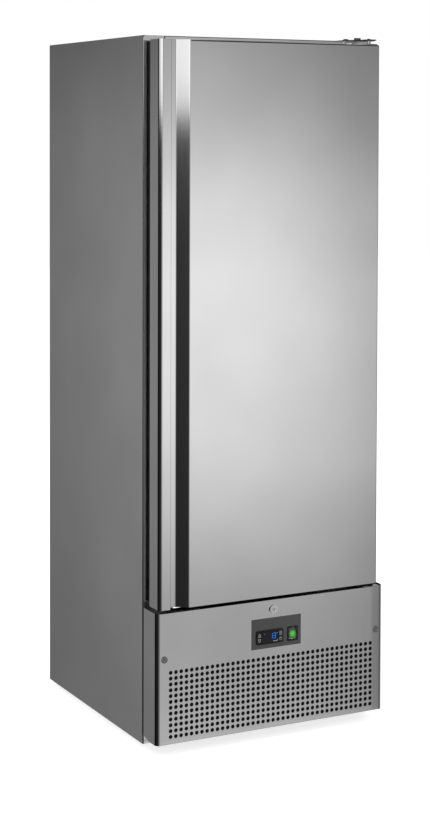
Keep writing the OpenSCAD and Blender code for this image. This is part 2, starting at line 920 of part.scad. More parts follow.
// Outline of the cover's folded sheet, seen from above
module cover_shell() {
    half = cover_w / 2;
    difference() {
        union() {
            translate([-half + cover_r, y_front]) square([cover_w - 2 * cover_r, cover_r + 1]);
            translate([-half, y_front + cover_r]) square([cover_w, y_cab - y_front - cover_r]);
            for (sx = [-1, 1]) {
                translate([sx * (half - cover_r), y_front + cover_r]) circle(r = cover_r);
            }
        }
        translate([-half + cover_r, y_front + sheet_t]) square([cover_w - 2 * cover_r, cover_r]);
        translate([-half + sheet_t, y_front + cover_r]) square([cover_w - 2 * sheet_t, y_cab - y_front]);
        for (sx = [-1, 1]) {
            translate([sx * (half - cover_r), y_front + cover_r]) circle(r = cover_r - sheet_t);
        }
    }
}

module front_cover() {
    half = cover_w / 2;
    color(steel) {
        difference() {
            union() {
                translate([0, 0, cover_low]) linear_extrude(cover_h) cover_shell();
                for (z = [cover_low, cover_top - sheet_t]) {
                    block([-half + cover_r, y_front + sheet_t / 2, z],
                        [half - cover_r, y_front + cover_fold, z + sheet_t]);
                }
            }
            upright(y_front - 1, sheet_t + 2) {
                for (column = [0:hole_columns - 1]) {
                    for (row = [0:hole_rows - 1]) {
                        translate([(column - (hole_columns - 1) / 2)
                            * hole_pitch, cover_low + hole_base + row * hole_pitch]) {
                            circle(d = hole_d, $fn = 24);
                        }
                    }
                }
            }
            block([bezel_x - bezel_w / 2 + body_inset - fit_gap, y_front - 1,
                bezel_z - bezel_h / 2 + body_inset - fit_gap],
                [bezel_x + bezel_w / 2 - body_inset + fit_gap, y_front + 2,
                    bezel_z + bezel_h / 2 - body_inset + fit_gap]);
            block([switch_x - switch_w / 2 + 2 - fit_gap, y_front - 1,
                switch_z - switch_h / 2 + 2 - fit_gap],
                [switch_x + switch_w / 2 - 2 + fit_gap, y_front + 2,
                    switch_z + switch_h / 2 - 2 + fit_gap]);
            rod_y([lock_x, y_front - 1, lock_z], lock_r - 2 + fit_gap, sheet_t + 2);
            for (sx = [-1, 1]) {
                rod_y([sx * screw_x, y_front - 1, screw_z], 2.5 + fit_gap, sheet_t + 2);
                // Cut-away lower rear corner of each side return
                translate([sx * half - 3, 0, 0]) rotate([90, 0, 90]) linear_extrude(6) {
                    polygon([
                        [y_cab - cover_cut, cover_low - 1], [y_cab - cover_cut, cover_low],
                        [y_cab + 1, cover_low + cover_cut / 4], [y_cab + 1, cover_low - 1]
                    ]);
                }
            }
        }
    }
}

module cover_screws() {
    color(black) {
        for (sx = [-1, 1]) {
            rod_y([sx * screw_x, y_front - screw_t, screw_z], screw_r, screw_t);
            rod_y([sx * screw_x, y_front - screw_t, screw_z], 2.5, screw_t + 14);
        }
    }
}

// Washable black filter mat behind the perforation
module air_filter() {
    half = cover_w / 2 - cover_r - 2;
    color(black) {
        block([-half, y_front + sheet_t, cover_low + sheet_t],
            [half, y_front + sheet_t + filter_t, cover_low + hole_base + hole_rows * hole_pitch - 2]);
    }
}

// Folded tabs on the cabinet's flanges that the cover is screwed to
module cover_brackets() {
    color(dull_steel) {
        for (side = [-1, 1]) {
            difference() {
                union() {
                    block_pair(side, [screw_x - 18, y_cab - bracket_t, screw_z - 12],
                        [bracket_end, y_cab, screw_z + 12]);
                    block_pair(side, [bracket_end - bracket_t, y_front + sheet_t, screw_z - 12],
                        [bracket_end, y_cab, screw_z + 12]);
                    block_pair(side, [screw_x - 9, y_front + sheet_t, screw_z - 12],
                        [bracket_end, y_front + sheet_t + bracket_t, screw_z + 12]);
                }
                rod_y([side * screw_x, y_front, screw_z], 2.5 + pin_gap, sheet_t + bracket_t + 1);
            }
        }
    }
}

module control_plate() {
    color(black) {
        difference() {
            block([plate_shift - plate_w / 2, y_front - plate_t, plate_z - plate_h / 2],
                [plate_shift + plate_w / 2, y_front, plate_z + plate_h / 2]);
            block([bezel_x - bezel_w / 2 + body_inset - fit_gap, y_front - 3,
                bezel_z - bezel_h / 2 + body_inset - fit_gap],
                [bezel_x + bezel_w / 2 - body_inset + fit_gap, y_front + 2,
                    bezel_z + bezel_h / 2 - body_inset + fit_gap]);
            block([switch_x - switch_w / 2 + 2 - fit_gap, y_front - 3,
                switch_z - switch_h / 2 + 2 - fit_gap],
                [switch_x + switch_w / 2 - 2 + fit_gap, y_front + 2,
                    switch_z + switch_h / 2 - 2 + fit_gap]);
        }
    }
}

// Electronic thermostat: bezel outside, case behind the cover, wells for the window and the keys
module controller_body() {
    face = y_front - bezel_proud;
    color("black") {
        difference() {
            union() {
                translate([bezel_x, 0, bezel_z]) upright(face, bezel_proud - plate_t)
                    rounded_square([bezel_w, bezel_h], 5);
                block([bezel_x - bezel_w / 2 + body_inset, face + 1, bezel_z - bezel_h / 2 + body_inset],
                    [bezel_x + bezel_w / 2 - body_inset, y_front + controller_depth,
                        bezel_z + bezel_h / 2 - body_inset]);
            }
            block([bezel_x - window_w / 2 - fit_gap, face - 1, bezel_z - window_h / 2 - fit_gap],
                [bezel_x + window_w / 2 + fit_gap, face + window_t, bezel_z + window_h / 2 + fit_gap]);
            for (sx = [-1, 1]) {
                for (sz = [-1, 1]) {
                    translate([bezel_x + sx * key_x, 0, bezel_z + sz * key_z]) {
                        block([-key_w / 2 - fit_gap, face - 1, -key_h / 2 - fit_gap],
                            [key_w / 2 + fit_gap, face + 2 + key_travel + fit_gap, key_h / 2 + fit_gap]);
                    }
                }
            }
        }
    }
}

module display_window() {
    face = y_front - bezel_proud;
    color("black") {
        block([bezel_x - window_w / 2, face, bezel_z - window_h / 2],
            [bezel_x + window_w / 2, face + window_t, bezel_z + window_h / 2]);
    }
}

module key(sx, sz) {
    face = y_front - bezel_proud;
    color("darkslategray") {
        translate([bezel_x + sx * key_x, 0, bezel_z + sz * key_z]) {
            block([-key_w / 2, face - key_proud, -key_h / 2], [key_w / 2, face + 2, key_h / 2]);
        }
    }
}

// Frame of the lit switch, with the bearing cheeks of the rocker
module switch_housing() {
    face = y_front - switch_proud;
    axle_y = y_front + 2;
    color("black") {
        difference() {
            union() {
                translate([switch_x, 0, switch_z]) upright(face, switch_proud - plate_t)
                    rounded_square([switch_w, switch_h], 3);
                block([switch_x - switch_w / 2 + 2, face + 1, switch_z - switch_h / 2 + 2],
                    [switch_x + switch_w / 2 - 2, y_front + switch_depth, switch_z + switch_h / 2 - 2]);
            }
            block([switch_x - rocker_w / 2 - 0.4, face - 1, switch_z - rocker_h / 2 - 2],
                [switch_x + rocker_w / 2 + 0.4, y_front + switch_depth - 6, switch_z + rocker_h / 2 + 2]);
            rod_x([switch_x - rocker_w / 2 - 2.4, axle_y, switch_z], 1.5 + pin_gap, rocker_w + 4.8);
        }
    }
}

// Lit rocker, pressed in at its upper end
module switch_rocker() {
    axle_y = y_front + 2;
    color("limegreen") {
        translate([switch_x, axle_y, switch_z]) rotate([-rocker_tilt, 0, 0]) {
            difference() {
                block([-rocker_w / 2, -rocker_face - 2, -rocker_h / 2],
                    [rocker_w / 2, rocker_depth - 4, rocker_h / 2]);
                // Shallow dish across the face
                rod_x([-rocker_w, -rocker_face - 2 - 62, 0], 63.2, rocker_w * 2, $fn = 96);
                for (sz = [-1, 1]) {
                    translate([0, 0, sz * rocker_h * 0.5]) rotate([sz * 40, 0, 0]) {
                        block([-rocker_w, 4, -14], [rocker_w, 20, 14]);
                    }
                }
            }
            rod_x([-rocker_w / 2 - 2, 0, 0], 1.5, rocker_w + 4);
        }
    }
}

// Clear splash cap that snaps over the switch frame
module switch_cap() {
    face = y_front - switch_proud;
    w = rocker_w + 5;
    h = rocker_h + 5;
    color("lightcyan") {
        translate([switch_x, 0, switch_z]) {
            difference() {
                upright(y_front - cap_proud, cap_proud - switch_proud) rounded_square([w, h], 3);
                upright(y_front - cap_proud + cap_wall, cap_proud)
                    rounded_square([w - 2 * cap_wall, h - 2 * cap_wall], 2.2);
            }
        }
    }
}

module lock_barrel() {
    color(zinc) {
        difference() {
            union() {
                rod_y([lock_x, y_front - lock_proud, lock_z], lock_r, lock_proud);
                rod_y([lock_x, y_front - lock_proud + 1, lock_z], lock_r - 2,
                    lock_proud - 1 + sheet_t + barrel_len);
            }
            rod_y([lock_x, y_front - lock_proud - 1, lock_z], plug_r + pin_gap, barrel_len + 12);
        }
    }
}

// Turning plug with its key slot, and the cam on its rear end
module lock_plug() {
    color(steel) {
        difference() {
            rod_y([lock_x, y_front - lock_proud - 0.5, lock_z], plug_r,
                lock_proud + 0.5 + sheet_t + barrel_len + 0.3 + cam_t);
            block([lock_x - 0.7, y_front - lock_proud - 1, lock_z - 4],
                [lock_x + 0.7, y_front + 8, lock_z + 4]);
        }
        translate([lock_x, cam_y + cam_t, lock_z]) rotate([90, 0, 0]) linear_extrude(cam_t) {
            circle(r = cam_w / 2 + 1);
            translate([0, -cam_w / 2]) square([cam_len - cam_w / 2, cam_w]);
            translate([cam_len - cam_w / 2, 0]) circle(r = cam_w / 2);
        }
    }
}

// Plan outline of the door body, drawn i inside the outer skin and t deep
module door_plan(i, t) {
    near = norm([grip_near, grip_depth]) / grip_depth;
    far = norm([grip_far, grip_depth]) / grip_depth;
    floor_y = grip_depth + i;
    lip = lip_w - i * near;
    wall = lip_w + grip_near + grip_floor + grip_far + i * far;
    translate([door_x, y_front]) {
        difference() {
            union() {
                translate([door_r, i]) square([door_w - door_r - door_r_hinge, door_r]);
                translate([i, door_r]) square([door_w - 2 * i, t - door_r]);
                translate([door_w - door_r_hinge - 1, door_r_hinge]) {
                    square([door_r_hinge + 1 - i, door_r]);
                }
                translate([door_r, door_r]) circle(r = door_r - i);
                translate([door_w - door_r_hinge, door_r_hinge]) circle(r = door_r_hinge - i);
            }
            polygon([
                [lip - grip_near / grip_depth, -1], [lip + grip_near * floor_y / grip_depth, floor_y],
                [wall - grip_far * floor_y / grip_depth, floor_y], [wall + grip_far / grip_depth, -1]
            ]);
        }
    }
}

// Folded stainless sheet of the door's front and edges
module door_skin() {
    color(steel) {
        translate([0, 0, door_low]) linear_extrude(door_top - door_low) {
            difference() {
                door_plan(0, door_t);
                door_plan(skin_t, door_t + 1);
            }
        }
    }
}

module bush_seat(z, h) {
    translate([axis_x, axis_y, z]) cylinder(r = bush_r + fit_gap, h = h);
}

module lock_slot(extra) {
    block([lock_x - cam_w / 2 - 3, cam_y - 3, door_low - 1],
        [lock_x + slot_reach, cam_y + cam_t + 3, slot_top + extra]);
}

module door_foam() {
    color("khaki") {
        difference() {
            union() {
                translate([0, 0, door_low + cap_t]) linear_extrude(door_top - door_low - 2 * cap_t) {
                    door_plan(skin_t, door_t - liner_t);
                }
                block([seal_in[0] + pan_gap + liner_t, y_rear - liner_t - 1,
                    seal_low[1] + pan_gap + liner_t],
                    [seal_in[1] - pan_gap - liner_t, y_rear + pan_rise - liner_t,
                        seal_top[1] - pan_gap - liner_t]);
            }
            bush_seat(door_low, bush_len);
            bush_seat(door_top - bush_len, bush_len + 1);
            lock_slot(0);
        }
    }
}

// Formed inner skin of the door, with a raised pan inside the seal
module door_liner() {
    color(white) {
        difference() {
            union() {
                block([door_x + skin_t, y_rear - liner_t, door_low],
                    [door_right - skin_t, y_rear, door_top]);
                block([seal_in[0] + pan_gap, y_rear - 1, seal_low[1] + pan_gap],
                    [seal_in[1] - pan_gap, y_rear + pan_rise, seal_top[1] - pan_gap]);
            }
            block([seal_in[0] + pan_gap + liner_t, y_rear - liner_t - 1, seal_low[1] + pan_gap + liner_t],
                [seal_in[1] - pan_gap - liner_t, y_rear + pan_rise - liner_t,
                    seal_top[1] - pan_gap - liner_t]);
        }
    }
}

// Magnetic seal: a foot on the door's liner, a folded bellows and the magnet head
module door_seal() {
    head = y_cab - seal_clear;
    color("gray") {
        ring([seal_out[0], seal_out[1]], [seal_low[0], seal_top[0]], [seal_in[0], seal_in[1]],
            [seal_low[1], seal_top[1]],
            y_rear, 3);
        ring([seal_out[0] + 4, seal_out[1] - 4], [seal_low[0] + 4, seal_top[0] - 4],
            [seal_in[0] - 4, seal_in[1] + 4],
            [seal_low[1] - 4, seal_top[1] + 4], y_rear + 2, seal_gap - 8);
        ring([seal_out[0] + 1, seal_out[1] - 1], [seal_low[0] + 1, seal_top[0] - 1],
            [seal_in[0] - 1, seal_in[1] + 1],
            [seal_low[1] - 1, seal_top[1] + 1], head - 7, 7);
    }
}

module door_end_caps() {
    color(steel) {
        difference() {
            translate([0, 0, door_low]) linear_extrude(cap_t) door_plan(skin_t, door_t - liner_t);
            bush_seat(door_low - 1, cap_t + 2);
            lock_slot(0);
        }
        difference() {
            union() {
                translate([0, 0, door_top - cap_t]) linear_extrude(cap_t)
                    door_plan(skin_t, door_t - liner_t);
                // Doubling plate that spreads the hinge's load, level with the bush's flange
                block([axis_x - plate_reach, y_front + 8, door_top - 1],
                    [door_right - skin_t - 0.3, y_rear - 6, door_top + flange_t]);
            }
            bush_seat(door_top - cap_t - 1, cap_t + 2);
            translate([axis_x, axis_y, door_top]) cylinder(r = bush_r + 3 + fit_gap, h = flange_t + 1);
        }
    }
}

module hinge_bush() {
    difference() {
        union() {
            cylinder(r = bush_r, h = bush_len);
            translate([0, 0, -flange_t]) cylinder(r = bush_r + 3, h = flange_t);
        }
        translate([0, 0, -flange_t - 1]) cylinder(r = pin_r + pin_gap, h = pin_len + flange_t + 2);
    }
}

module hinge_bushes() {
    color(black) {
        translate([axis_x, axis_y, door_low]) hinge_bush();
        translate([axis_x, axis_y, door_top]) mirror([0, 0, 1]) hinge_bush();
    }
}

// Outline of a hinge plate seen from above: round at the pin, square on the cabinet
module hinge_plan(x0, y1) {
    translate([axis_x, axis_y]) circle(r = 20);
    polygon([
        [axis_x - 20, axis_y], [axis_x - hinge_half, axis_y + 22], [x0, y_cab - 8], [x0, y1],
        [x_side - 4, y1], [x_side - 4, y_cab - 20], [axis_x + 20, axis_y]
    ]);
}

module top_hinge() {
    color(black) {
        translate([0, 0, z_top]) linear_extrude(hinge_t) hinge_plan(axis_x - 52, y_cab + 46);
        block([axis_x - 52, y_cab - hinge_t, z_top - leaf_h], [x_side - 4, y_cab, z_top + hinge_t]);
        translate([axis_x, axis_y, door_top - pin_len])
            cylinder(r = pin_r, h = z_top + hinge_t + 2.5 - door_top + pin_len);
    }
}

module bottom_hinge() {
    z1 = door_low - flange_t - seal_clear;
    color(zinc) {
        translate([0, 0, z1 - hinge_t]) linear_extrude(hinge_t) {
            hinge_plan(axis_x - 42, y_cab);
        }
        block([axis_x - 42, y_cab - hinge_t, z_box + 2 - 46], [x_side - 4, y_cab, z1]);
        translate([axis_x, axis_y, z1 - hinge_t])
            cylinder(r = pin_r, h = door_low + pin_len - z1 + hinge_t);
    }
}

module hinge_bolts() {
    color("black") {
        for (spot = [[axis_x - bolt_reach, bolt_head / 2, 6.5], [axis_x + 5, bolt_head, 9]]) {
            translate([spot[0], y_cab + 22, z_top + hinge_t]) {
                cylinder(r = spot[2] + 2.5, h = 1.5);
                cylinder(r = spot[2], h = spot[1], $fn = 6);
            }
        }
        for (x = [axis_x - 24, axis_x + 14]) {
            rod_y([x, y_cab - hinge_t - 4, z_box - 18], 6, 4, $fn = 6);
        }
    }
}

// Levelling foot: a steel pad, a hexagon collar and its threaded stud
module foot(sx, y) {
    color(zinc) {
        translate([sx * foot_x, y, 0]) {
            cylinder(r1 = foot_r - 1.5, r2 = foot_r, h = 1.5);
            translate([0, 0, 1.5]) cylinder(r = foot_r, h = foot_pad - 3);
            translate([0, 0, foot_pad - 1.5]) cylinder(r1 = foot_r, r2 = foot_r - 4, h = 1.5);
            cylinder(r = stud_r + 4, h = leg_h - foot_gap, $fn = 6);
            cylinder(r = stud_r, h = stud_top);
        }
    }
}

side_panel(-1);  // side_panel_left
side_panel(1);  // side_panel_right
top_panel();
back_panel();
base_plate();
top_rail();
bottom_rail();
cabinet_foam();
inner_liner();
rear_grille();
power_inlet();
condenser_coil();
fan_shroud();
condenser_fan_motor();
condenser_fan();
compressor();
compressor_grommets();
terminal_box();
refrigerant_pipes();
drip_tray();
evaporator_cover();
evaporator_coil();
evaporator_fan_motor();
evaporator_fan();
drain_tube();
shelf_rails();
shelf_clips();
wire_shelf(0);  // wire_shelf_1
wire_shelf(1);  // wire_shelf_2
wire_shelf(2);  // wire_shelf_3
wire_shelf(3);  // wire_shelf_4
front_cover();
air_filter();
cover_brackets();
cover_screws();
control_plate();
controller_body();
display_window();
key(-1, 1);  // key_up
key(-1, -1);  // key_down
key(1, 1);  // key_set
key(1, -1);  // key_power
switch_housing();
switch_rocker();
switch_cap();
lock_barrel();
lock_plug();
door_skin();
door_foam();
door_liner();
door_seal();
door_end_caps();
hinge_bushes();
top_hinge();
bottom_hinge();
hinge_bolts();
foot(-1, foot_y[0]);  // foot_front_left
foot(1, foot_y[0]);  // foot_front_right
foot(-1, foot_y[1]);  // foot_rear_left
foot(1, foot_y[1]);  // foot_rear_right
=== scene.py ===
import math

import bmesh
import bpy
from mathutils import Matrix, Vector


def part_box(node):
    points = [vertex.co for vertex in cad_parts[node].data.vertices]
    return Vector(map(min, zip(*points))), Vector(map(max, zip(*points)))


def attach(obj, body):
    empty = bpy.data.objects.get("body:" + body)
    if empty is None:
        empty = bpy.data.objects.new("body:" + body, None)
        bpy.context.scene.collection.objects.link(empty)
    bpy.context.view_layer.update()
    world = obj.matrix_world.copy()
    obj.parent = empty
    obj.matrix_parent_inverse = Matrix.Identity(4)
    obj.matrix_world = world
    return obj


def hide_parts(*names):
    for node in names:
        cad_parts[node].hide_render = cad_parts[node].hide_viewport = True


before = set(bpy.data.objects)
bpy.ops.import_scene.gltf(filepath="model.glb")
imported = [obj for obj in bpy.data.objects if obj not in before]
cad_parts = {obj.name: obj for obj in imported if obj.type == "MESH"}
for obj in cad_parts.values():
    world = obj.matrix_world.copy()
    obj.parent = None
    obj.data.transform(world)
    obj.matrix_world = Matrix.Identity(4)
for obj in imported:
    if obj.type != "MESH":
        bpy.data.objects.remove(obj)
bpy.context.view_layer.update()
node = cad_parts

# Camera
# It stands 2.3 m to the left of the cabinet's middle and 4.4 m in front of it, below the top,
# and looks two degrees down. The lens is shifted, so that upright edges stay nearly upright.
optics = bpy.data.cameras.new("camera")
optics.lens = 78.38
optics.sensor_width = 36
optics.shift_x = 0.0271
optics.shift_y = -0.2609
camera = bpy.data.objects.new("camera", optics)
bpy.context.scene.collection.objects.link(camera)
camera.matrix_world = (
    Matrix.Translation((-2.3142, -4.4016, 1.5864))
    @ Matrix.Rotation(-0.4727, 4, "Z")
    @ Matrix.Rotation(math.pi / 2 - 0.0356, 4, "X")
    @ Matrix.Rotation(0.0024, 4, "Z")
)
bpy.context.scene.camera = camera

# Studio
# A white room with a pale floor. Polished metal mirrors its soft walls: pale in front, a black
# card with a strip lamp above it on the left, and dim grey behind.
bpy.context.scene.view_settings.view_transform = "Standard"
world = bpy.data.worlds.new("studio")
bpy.context.scene.world = world
world.use_nodes = True
sky = world.node_tree
sky.nodes.clear()
sky_way = sky.nodes.new("ShaderNodeTexCoord")
sky_axes = sky.nodes.new("ShaderNodeSeparateXYZ")
sky.links.new(sky_way.outputs["Generated"], sky_axes.inputs[0])


def work_out(tree, kind, *values):
    step = tree.nodes.new("ShaderNodeMath")
    step.operation = kind
    for slot, value in enumerate(values):
        if isinstance(value, (int, float)):
            step.inputs[slot].default_value = value
        else:
            tree.links.new(value, step.inputs[slot])
    return step.outputs[0]


def sky_ramp(value, start, end, top, stops):
    share = sky.nodes.new("ShaderNodeMapRange")
    share.inputs["From Min"].default_value = start
    share.inputs["From Max"].default_value = end
    sky.links.new(value, share.inputs["Value"])
    ramp = sky.nodes.new("ShaderNodeValToRGB")
    keys = ramp.color_ramp.elements
    while len(keys) > 1:
        keys.remove(keys[-1])
    for place, level in stops:
        part = (place - start) / (end - start)
        key = keys[0] if (place, level) == stops[0] else keys.new(part)
        key.position = part
        key.color = (level / top, level / top, level / top, 1)
    sky.links.new(share.outputs["Result"], ramp.inputs[0])
    return work_out(sky, "MULTIPLY", ramp.outputs[0], top)


ahead = work_out(sky, "MULTIPLY", sky_axes.outputs["Y"], -1.0)
turn = work_out(sky, "MULTIPLY", work_out(sky, "ARCTAN2", sky_axes.outputs["X"], ahead), 180 / math.pi)
rise = work_out(sky, "ARCSINE", sky_axes.outputs["Z"])
front_wall = sky_ramp(rise, -0.40, 1.00, 1.6, (
    (-0.40, 0.88), (-0.325, 0.76), (-0.30, 0.64), (-0.28, 0.61), (-0.255, 0.65), (-0.215, 0.90),
    (-0.17, 1.23), (-0.125, 1.37), (-0.08, 1.42), (-0.033, 1.26), (0.013, 0.84), (0.06, 0.60),
    (0.16, 0.42), (0.30, 0.16), (0.50, 0.08), (1.00, 0.08)))
leaning = work_out(sky, "ADD", turn, work_out(sky, "MULTIPLY", rise, 6.0))
front_share = sky_ramp(leaning, -180, 180, 1.0, (
    (-180, 0.0), (-40, 0.0), (-10, 0.55), (5, 1.0), (27, 1.0), (29, 0.95), (31, 0.74), (32, 0.57),
    (36, 0.46), (45, 0.40), (60, 0.20), (110, 0.20), (125, 0.0)))
left_wall = sky_ramp(rise, -0.40, 1.00, 1.6, (
    (-0.40, 0.02), (-0.05, 0.03), (-0.002, 0.06), (0.006, 0.2), (0.014, 1.0), (0.03, 1.2), (0.06, 1.25),
    (0.30, 1.3), (0.50, 0.2), (1.00, 0.1)))
left_share = sky_ramp(turn, -180, 180, 2.0, (
    (-180, 0.0), (-108, 0.0), (-92, 1.0), (-40, 1.0), (-34, 2.0), (-24, 2.0), (-12, 0.0)))
back_wall = sky_ramp(rise, -0.40, 1.00, 1.3, (
    (-0.40, 0.24), (-0.255, 0.30), (-0.15, 0.35), (-0.06, 0.35), (0.0, 0.33), (0.06, 0.21), (0.12, 0.12),
    (0.22, 0.40), (0.40, 0.50), (1.00, 0.50)))
back_share = sky_ramp(turn, -180, 180, 1.0, (
    (-180, 0.6), (-159, 0.52), (-154.5, 1.0), (-148, 1.0), (-138, 0.0), (70, 0.0), (100, 0.9),
    (150, 1.0), (180, 0.7)))
mirrored = work_out(sky, "MULTIPLY", front_wall, front_share)
mirrored = work_out(sky, "ADD", mirrored, work_out(sky, "MULTIPLY", left_wall, left_share))
mirrored = work_out(sky, "ADD", mirrored, work_out(sky, "MULTIPLY", back_wall, back_share))
room_light = 0.45
sky_path = sky.nodes.new("ShaderNodeLightPath")
sky_seen = work_out(sky, "MAXIMUM", sky_path.outputs["Is Camera Ray"],
                    sky_path.outputs["Is Transmission Ray"])
sky_level = sky.nodes.new("ShaderNodeMix")
sky_level.inputs["A"].default_value = room_light
sky.links.new(mirrored, sky_level.inputs["B"])
sky.links.new(sky_path.outputs["Is Glossy Ray"], sky_level.inputs["Factor"])
sky_white = work_out(sky, "MAXIMUM", sky_seen, sky_level.outputs["Result"])
sky_glow = sky.nodes.new("ShaderNodeBackground")
sky_glow.inputs["Color"].default_value = (1, 1, 1, 1)
sky.links.new(sky_white, sky_glow.inputs["Strength"])
sky_out = sky.nodes.new("ShaderNodeOutputWorld")
sky.links.new(sky_glow.outputs[0], sky_out.inputs[0])

bpy.ops.mesh.primitive_plane_add(size=30, location=(0, 0, 0))
floor = bpy.context.object
floor.name = "studio_floor"
floor_glow = 0.75
floor_paint = bpy.data.materials.new("studio_floor")
floor_paint.use_nodes = True
paint = floor_paint.node_tree
paint.nodes.clear()
paint_out = paint.nodes.new("ShaderNodeOutputMaterial")
paint_matt = paint.nodes.new("ShaderNodeBsdfDiffuse")
paint_matt.inputs["Color"].default_value = (0.86, 0.86, 0.86, 1)
paint_glow = paint.nodes.new("ShaderNodeEmission")
paint_glow.inputs["Color"].default_value = (1, 1, 1, 1)
paint_add = paint.nodes.new("ShaderNodeAddShader")
paint_path = paint.nodes.new("ShaderNodeLightPath")
paint_seen = work_out(paint, "MAXIMUM", paint_path.outputs["Is Camera Ray"],
                      paint_path.outputs["Is Transmission Ray"])
paint.links.new(work_out(paint, "MULTIPLY", paint_seen, floor_glow), paint_glow.inputs["Strength"])
paint.links.new(paint_matt.outputs[0], paint_add.inputs[0])
paint.links.new(paint_glow.outputs[0], paint_add.inputs[1])
paint.links.new(paint_add.outputs[0], paint_out.inputs[0])
floor.data.materials.append(floor_paint)
floor.visible_glossy = False


def softbox(name, place, aim, width, height, power):
    bulb = bpy.data.lights.new(name, "AREA")
    bulb.shape = "RECTANGLE"
    bulb.size = width
    bulb.size_y = height
    bulb.energy = power
    box = bpy.data.objects.new(name, bulb)
    bpy.context.scene.collection.objects.link(box)
    box.location = place
    box.rotation_euler = (Vector(aim) - Vector(place)).to_track_quat("-Z", "Y").to_euler()
    box.visible_glossy = False
    return box


softbox("front_right_box", (3.4, -5.6, 1.2), (0, -0.35, 1.1), 2.2, 1.3, 45)
softbox("front_left_box", (-3.0, -5.0, 3.4), (0, -0.35, 0.9), 2.4, 2.4, 42)
softbox("top_box", (0.0, -1.0, 4.6), (0, 0, 0.9), 3.0, 3.0, 34)
softbox("back_right_box", (3.5, 3.2, 2.6), (0, 0, 0.9), 2.0, 2.0, 26)


# Sheet steel grain
# The cabinet, the door and the cover are satin stainless sheet, ground upright. The streaks
# are fine, and faint clouds from wiping lie over them.
def socket(tree, name, kind, way, value=None):
    made = tree.interface.new_socket(name=name, in_out=way, socket_type=kind)
    if value is not None:
        made.default_value = value
    return made


grain = bpy.data.node_groups.new("upright grain", "ShaderNodeTree")
socket(grain, "Streak depth", "NodeSocketFloat", "INPUT", 0.05)
socket(grain, "Cloud size", "NodeSocketFloat", "INPUT", 3.0)
socket(grain, "Streak", "NodeSocketFloat", "OUTPUT")
socket(grain, "Cloud", "NodeSocketFloat", "OUTPUT")
socket(grain, "Normal", "NodeSocketVector", "OUTPUT")
grain_in = grain.nodes.new("NodeGroupInput")
grain_out = grain.nodes.new("NodeGroupOutput")
grain_place = grain.nodes.new("ShaderNodeTexCoord")
grain_stretch = grain.nodes.new("ShaderNodeMapping")
grain_stretch.inputs["Scale"].default_value = (900, 900, 7)
grain_noise = grain.nodes.new("ShaderNodeTexNoise")
grain_noise.inputs["Scale"].default_value = 1.0
grain_noise.inputs["Detail"].default_value = 3
grain_cloud = grain.nodes.new("ShaderNodeTexNoise")
grain_cloud.inputs["Detail"].default_value = 2
grain_bump = grain.nodes.new("ShaderNodeBump")
grain_bump.inputs["Distance"].default_value = 0.0002
grain.links.new(grain_place.outputs["Object"], grain_stretch.inputs["Vector"])
grain.links.new(grain_stretch.outputs[0], grain_noise.inputs["Vector"])
grain.links.new(grain_place.outputs["Object"], grain_cloud.inputs["Vector"])
grain.links.new(grain_in.outputs["Cloud size"], grain_cloud.inputs["Scale"])
grain.links.new(grain_noise.outputs["Fac"], grain_bump.inputs["Height"])
grain.links.new(grain_in.outputs["Streak depth"], grain_bump.inputs["Strength"])
grain.links.new(grain_noise.outputs["Fac"], grain_out.inputs["Streak"])
grain.links.new(grain_cloud.outputs["Fac"], grain_out.inputs["Cloud"])
grain.links.new(grain_bump.outputs[0], grain_out.inputs["Normal"])


def blend_colour(tree, factor, dark, light):
    mixer = tree.nodes.new("ShaderNodeMix")
    mixer.data_type = "RGBA"
    mixer.inputs["A"].default_value = (*dark, 1)
    mixer.inputs["B"].default_value = (*light, 1)
    tree.links.new(factor, mixer.inputs["Factor"])
    return mixer.outputs["Result"]


def spread(tree, value, low, high, start=0.3, end=0.7):
    ranger = tree.nodes.new("ShaderNodeMapRange")
    ranger.inputs["From Min"].default_value = start
    ranger.inputs["From Max"].default_value = end
    ranger.inputs["To Min"].default_value = low
    ranger.inputs["To Max"].default_value = high
    tree.links.new(value, ranger.inputs["Value"])
    return ranger.outputs["Result"]


def new_finish(name):
    made = bpy.data.materials.new(name)
    made.use_nodes = True
    return made, made.node_tree, made.node_tree.nodes["Principled BSDF"]


def sheet_steel(name, dark, light, smooth, rough, depth):
    steel, tree, skin = new_finish(name)
    skin.inputs["Metallic"].default_value = 1.0
    streaks = tree.nodes.new("ShaderNodeGroup")
    streaks.node_tree = grain
    streaks.inputs["Streak depth"].default_value = depth
    cloud = spread(tree, streaks.outputs["Cloud"], 0.0, 0.65)
    both = work_out(tree, "MULTIPLY_ADD", streaks.outputs["Streak"], 0.35, cloud)
    tree.links.new(blend_colour(tree, both, dark, light), skin.inputs["Base Color"])
    tree.links.new(spread(tree, streaks.outputs["Streak"], smooth, rough), skin.inputs["Roughness"])
    tree.links.new(streaks.outputs["Normal"], skin.inputs["Normal"])
    return steel


cabinet_steel = sheet_steel("cabinet steel", (0.55, 0.55, 0.55), (0.66, 0.66, 0.66), 0.07, 0.12, 0.05)
door_steel = sheet_steel("door steel", (0.50, 0.50, 0.50), (0.59, 0.59, 0.59), 0.045, 0.08, 0.05)
sheet_thickness = 0.001

# Door skin
# One stainless sheet folded round the door. A full-height recess beside the left edge has a
# steep wall behind the gripping lip and a slanted one opposite, and every fold is a small bend.
skin_low, skin_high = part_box("door_skin")
lip_width = 0.0328
steep_run = 0.0020
floor_width = 0.0200
slanted_run = 0.0310
recess = 0.020
left_bend = 0.0115
hinge_bend = 0.0045
fold = 0.0045
lip_end = skin_low[0] + lip_width
floor_start = lip_end + steep_run
floor_end = floor_start + floor_width
wall_end = floor_end + slanted_run
flat_start = wall_end + 0.004


